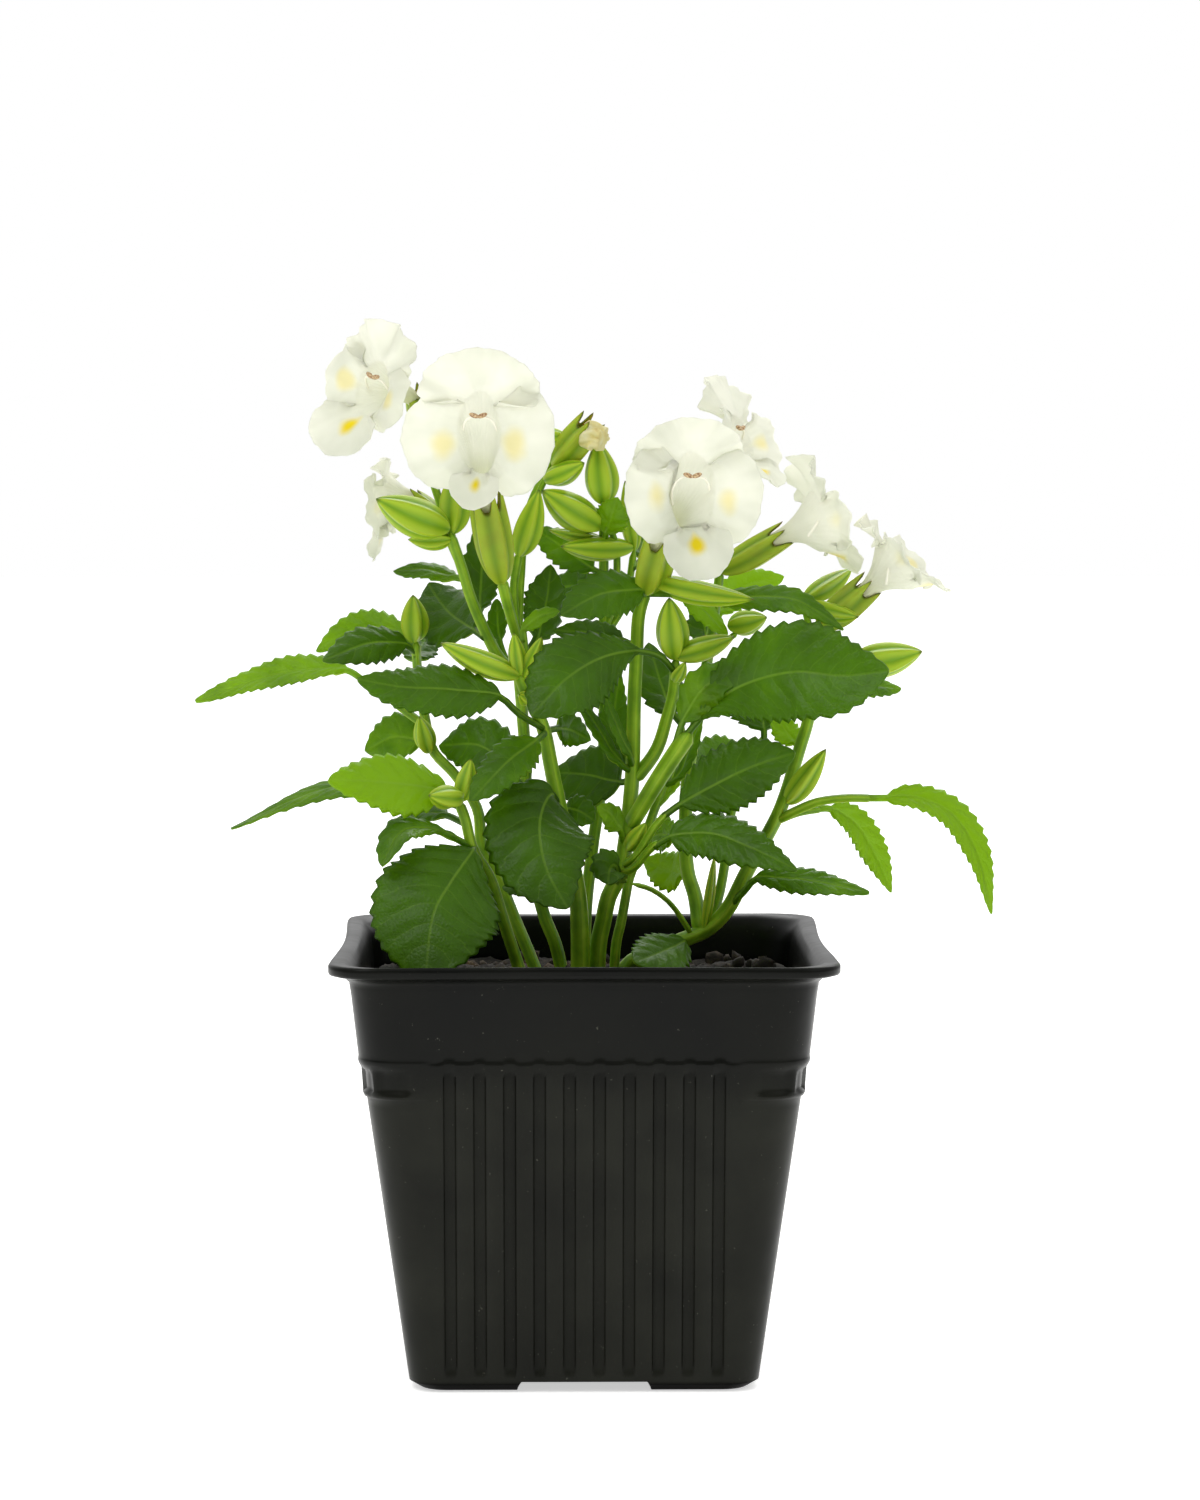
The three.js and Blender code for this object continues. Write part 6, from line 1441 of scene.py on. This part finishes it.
def dry_petal():
    """Withered petal: papery, cream with peach and brown where it has dried."""
    material, tree, output = new_material("petal_dried_papery")
    where = add_node(tree, "ShaderNodeTexCoord").outputs["Object"]
    # Stains of about 2.4 mm
    stain = add_node(tree, "ShaderNodeTexNoise", {"Vector": where, "Scale": per_metre(2.38), "Detail": 4.0})
    body = add_node(
        tree, "ShaderNodeValToRGB", {0: stain.outputs["Fac"]},
        stops=[(0.3, linear("#f4f0cc")), (0.62, linear("#eadf9c")), (0.9, linear("#c9a55c"))],
    )
    bump = add_node(
        tree, "ShaderNodeBump", {"Height": stain.outputs["Fac"], "Strength": 0.5, "Distance": 0.0005},
    )
    shader = add_node(
        tree, "ShaderNodeBsdfPrincipled",
        {"Base Color": body.outputs[0], "Roughness": 0.7, "Normal": bump.outputs[0]},
    )
    glow = add_node(tree, "ShaderNodeBsdfTranslucent", {"Color": body.outputs[0]})
    both = add_node(tree, "ShaderNodeMixShader", {0: 0.3, 1: shader.outputs[0], 2: glow.outputs[0]})
    tree.links.new(both.outputs[0], output.inputs[0])
    return material


# Sizes and colours a user would change
class WishbonePotSettings(bpy.types.PropertyGroup):
    """The pot's finish, the depth of its grooves and how high it is filled."""

    plastic: bpy.props.FloatVectorProperty(
        name="Plastic", description="Colour of the moulded pot", subtype="COLOR", size=4, min=0, max=1,
        default=linear("#10110c"),
    )
    groove_depth: bpy.props.FloatProperty(
        name="Groove depth", description="Depth of the grooves in the pot's sides", subtype="DISTANCE",
        unit="LENGTH", min=0, default=GROOVE_DEPTH * MM,
    )
    soil_top: bpy.props.FloatProperty(
        name="Soil level", description="Height of the potting mix over the pot's foot", subtype="DISTANCE",
        unit="LENGTH", min=0, default=SOIL_TOP * MM,
    )


class WishboneFoliageSettings(bpy.types.PropertyGroup):
    """Colours of leaves, stems and calyces, and the depth of a leaf's teeth."""

    # The shaded and the bright leaf colours are painted shade and painted light: each leaf's tone picks
    # between them
    leaf_in_shade: bpy.props.FloatVectorProperty(
        name="Shaded leaf", description="Upper side of the oldest leaves", subtype="COLOR", size=4, min=0,
        max=1, default=linear("#2c4a07"),
    )
    bright: bpy.props.FloatVectorProperty(
        name="Bright leaf", description="Upper side of the youngest leaves", subtype="COLOR", size=4, min=0,
        max=1, default=linear("#7ba60c"),
    )
    rib: bpy.props.FloatVectorProperty(
        name="Rib", description="Midrib and side veins", subtype="COLOR", size=4, min=0, max=1,
        default=linear("#86aa3c"),
    )
    stem: bpy.props.FloatVectorProperty(
        name="Stem", description="Colour of the stems", subtype="COLOR", size=4, min=0, max=1,
        default=linear("#779f16"),
    )
    panel: bpy.props.FloatVectorProperty(
        name="Calyx", description="Sides between a calyx's ridges", subtype="COLOR", size=4, min=0, max=1,
        default=linear("#88ab1a"),
    )
    tooth_depth: bpy.props.FloatProperty(
        name="Tooth depth", description="Depth of the teeth along a leaf's margin", subtype="DISTANCE",
        unit="LENGTH", min=0, default=TOOTH_DEPTH * MM,
    )


class WishboneBloomSettings(bpy.types.PropertyGroup):
    """Colours of the blooms, and how thick their petals are."""

    petal: bpy.props.FloatVectorProperty(
        name="Petal", description="Colour of the lobes", subtype="COLOR", size=4, min=0, max=1,
        default=linear("#f8f8ef"),
    )
    spot: bpy.props.FloatVectorProperty(
        name="Spot", description="Mark on the lower lobe", subtype="COLOR", size=4, min=0, max=1,
        default=linear("#fbe30e"),
    )
    thickness: bpy.props.FloatProperty(
        name="Petal thickness", description="Thickness of the tubes and the lobes", subtype="DISTANCE",
        unit="LENGTH", min=0, default=PETAL_THICKNESS * MM,
    )


class WISHBONE_OT_stage(bpy.types.Operator):
    """Adds the pale floor, the soft lights and the camera at the photograph's angle"""

    bl_idname = "wishbone.stage"
    bl_label = "Floor, lights and camera"

    def execute(self, context):
        scene = context.scene
        world = bpy.data.worlds.new("pale_studio")
        world.use_nodes = True
        tree = world.node_tree
        tree.nodes.clear()
        eye = add_node(tree, "ShaderNodeLightPath").outputs["Is Camera Ray"]
        towards = add_node(tree, "ShaderNodeTexCoord").outputs["Generated"]
        way = add_node(tree, "ShaderNodeSeparateXYZ", {0: towards})
        over = add_node(tree, "ShaderNodeMapRange", {0: way.outputs[2], 1: 0.0, 2: 0.7, 3: 0.1, 4: 0.6})
        behind = add_node(tree, "ShaderNodeMapRange", {0: way.outputs[1], 1: -0.2, 2: 0.9, 3: 0.0, 4: 0.7})
        room = add_node(tree, "ShaderNodeMath", {0: over.outputs[0], 1: behind.outputs[0]}, operation="ADD")
        shown = add_node(tree, "ShaderNodeMix", {0: eye, 2: room.outputs[0], 3: 1.0}, data_type="FLOAT")
        sky = add_node(tree, "ShaderNodeBackground", {0: linear("#ffffff"), 1: shown.outputs[0]})
        tree.links.new(sky.outputs[0], add_node(tree, "ShaderNodeOutputWorld").inputs[0])
        scene.world = world

        mesh = bpy.data.meshes.new("floor")
        side = 6.0
        corners = [(-side, -side, 0), (side, -side, 0), (side, side, 0), (-side, side, 0)]
        mesh.from_pydata(corners, [], [(0, 1, 2, 3)])
        material, tree, output = new_material("paper_backdrop_matt")
        shader = add_node(
            tree, "ShaderNodeBsdfPrincipled",
            {"Base Color": linear("#fafaf8"), "Roughness": 0.9, "Emission Color": linear("#ffffff"),
             "Emission Strength": 0.55},
        )
        tree.links.new(shader.outputs[0], output.inputs[0])
        mesh.materials.append(material)
        floor = bpy.data.objects.new("floor", mesh)
        scene.collection.objects.link(floor)

        # Each lamp turns from straight down to the middle of the plant
        for name, spot, size, power in (
            ("key_softbox", (-0.55, -0.75, 1.25), 0.8, 7),
            ("fill_softbox", (0.9, -0.5, 0.8), 0.9, 2),
            ("back_softbox", (0.15, 0.9, 1.0), 0.8, 7),
        ):
            lamp = bpy.data.lights.new(name, "AREA")
            lamp.size = size
            lamp.energy = power
            holder = bpy.data.objects.new(name, lamp)
            holder.location = spot
            aim = np.array([0, 0, 0.12]) - np.array(spot)
            flat = math.hypot(aim[0], aim[1])
            holder.rotation_euler = (math.atan2(flat, -aim[2]), 0, math.atan2(-aim[0], aim[1]))
            scene.collection.objects.link(holder)

        lens = bpy.data.cameras.new("camera")
        lens.lens = LENS
        lens.sensor_fit = "VERTICAL"
        lens.sensor_height = SENSOR
        camera = bpy.data.objects.new("camera", lens)
        camera.location = EYE * MM
        camera.rotation_euler = (math.radians(90 - LOOK_DOWN), 0, math.radians(-LOOK_RIGHT))
        scene.collection.objects.link(camera)
        scene.camera = camera
        scene.view_settings.view_transform = "Standard"
        return {"FINISHED"}


class WISHBONE_OT_pot(bpy.types.Operator):
    """Builds the square nursery pot with its ribbed sides"""

    bl_idname = "wishbone.pot"
    bl_label = "Nursery pot"

    def execute(self, context):
        make_piece("nursery_pot", [pot_skin()], pot_plastic(), "pot_plastic", "pot")
        return {"FINISHED"}


class WISHBONE_OT_soil(bpy.types.Operator):
    """Fills the pot with potting mix and scatters crumbs on it"""

    bl_idname = "wishbone.soil"
    bl_label = "Potting mix"

    def execute(self, context):
        material = potting_mix()
        make_piece("potting_mix", [soil_skin()], material, "potting_soil", "soil")
        make_piece("bark_crumbs", crumbs(), material, "potting_soil", "soil")
        return {"FINISHED"}


class WISHBONE_OT_stems(bpy.types.Operator):
    """Grows the stems with their leaves and calyces"""

    bl_idname = "wishbone.stems"
    bl_label = "Leafy stems"

    def execute(self, context):
        stem_material, leaf_material, calyx_material = green_stem(), leaf_blade(), calyx_skin()
        rng = np.random.default_rng(5)
        for name, parts in STEMS.items():
            place = name[len("stem_"):]
            shoots = [shoot(*given) for given in parts["shoots"]]
            make_piece("shoots_" + place, shoots, stem_material, "foliage", name)
            toned = zip(parts["leaves"], LEAF_TONES[name])
            blades = [leaf(shape, tone, rng.uniform(0, 6.28)) for shape, tone in toned]
            make_piece("leaves_" + place, blades, leaf_material, "foliage", name)
            sheaths = [calyx(*given, False, 0.1) for given in parts.get("buds", [])]
            sheaths += [calyx(*given, True, 0.6) for given in parts.get("cups", [])]
            if sheaths:
                make_piece("calyces_" + place, sheaths, calyx_material, "foliage", name)
        return {"FINISHED"}


class WISHBONE_OT_blooms(bpy.types.Operator):
    """Opens the white blooms in their calyces"""

    bl_idname = "wishbone.blooms"
    bl_label = "Blooms"

    def execute(self, context):
        material = petal_skin()
        for number, (name, shape) in enumerate(BLOOMS.items()):
            place = name[len("bloom_"):]
            make_piece("corolla_" + place, [bloom(shape, number * 1.3)], material, "petals", name)
        threads = [skin for shape in BLOOMS.values() for skin in stamens(shape)]
        make_piece("stamens", threads, stamen_skin(), "petals", *BLOOMS)
        make_piece("withered_bloom", [spent_corolla()], dry_petal(), "spent_petal", "withered_corolla")
        return {"FINISHED"}


class WISHBONE_PT_panel(bpy.types.Panel):
    """Lists the steps that build the plant"""

    bl_idname = "WISHBONE_PT_panel"
    bl_label = "Wishbone Flower"
    bl_space_type = "VIEW_3D"
    bl_region_type = "UI"
    bl_category = "Wishbone Flower"

    def draw(self, context):
        layout = self.layout
        for step_name in ("stage", "pot", "soil", "stems", "blooms"):
            layout.operator("wishbone." + step_name)
        scene = context.scene
        for group in (scene.wishbone_pot, scene.wishbone_foliage, scene.wishbone_blooms):
            box = layout.box()
            for name in group.__annotations__:
                box.prop(group, name)


CLASSES = (
    WishbonePotSettings, WishboneFoliageSettings, WishboneBloomSettings, WISHBONE_OT_stage, WISHBONE_OT_pot,
    WISHBONE_OT_soil, WISHBONE_OT_stems, WISHBONE_OT_blooms, WISHBONE_PT_panel,
)


def register():
    for cls in CLASSES:
        bpy.utils.register_class(cls)
    bpy.types.Scene.wishbone_pot = bpy.props.PointerProperty(type=WishbonePotSettings)
    bpy.types.Scene.wishbone_foliage = bpy.props.PointerProperty(type=WishboneFoliageSettings)
    bpy.types.Scene.wishbone_blooms = bpy.props.PointerProperty(type=WishboneBloomSettings)


def unregister():
    del bpy.types.Scene.wishbone_pot
    del bpy.types.Scene.wishbone_foliage
    del bpy.types.Scene.wishbone_blooms
    for cls in reversed(CLASSES):
        bpy.utils.unregister_class(cls)


def main():
    register()
    bpy.ops.wishbone.stage()
    bpy.ops.wishbone.pot()
    bpy.ops.wishbone.soil()
    bpy.ops.wishbone.stems()
    bpy.ops.wishbone.blooms()


if __name__ == "__main__":
    main()
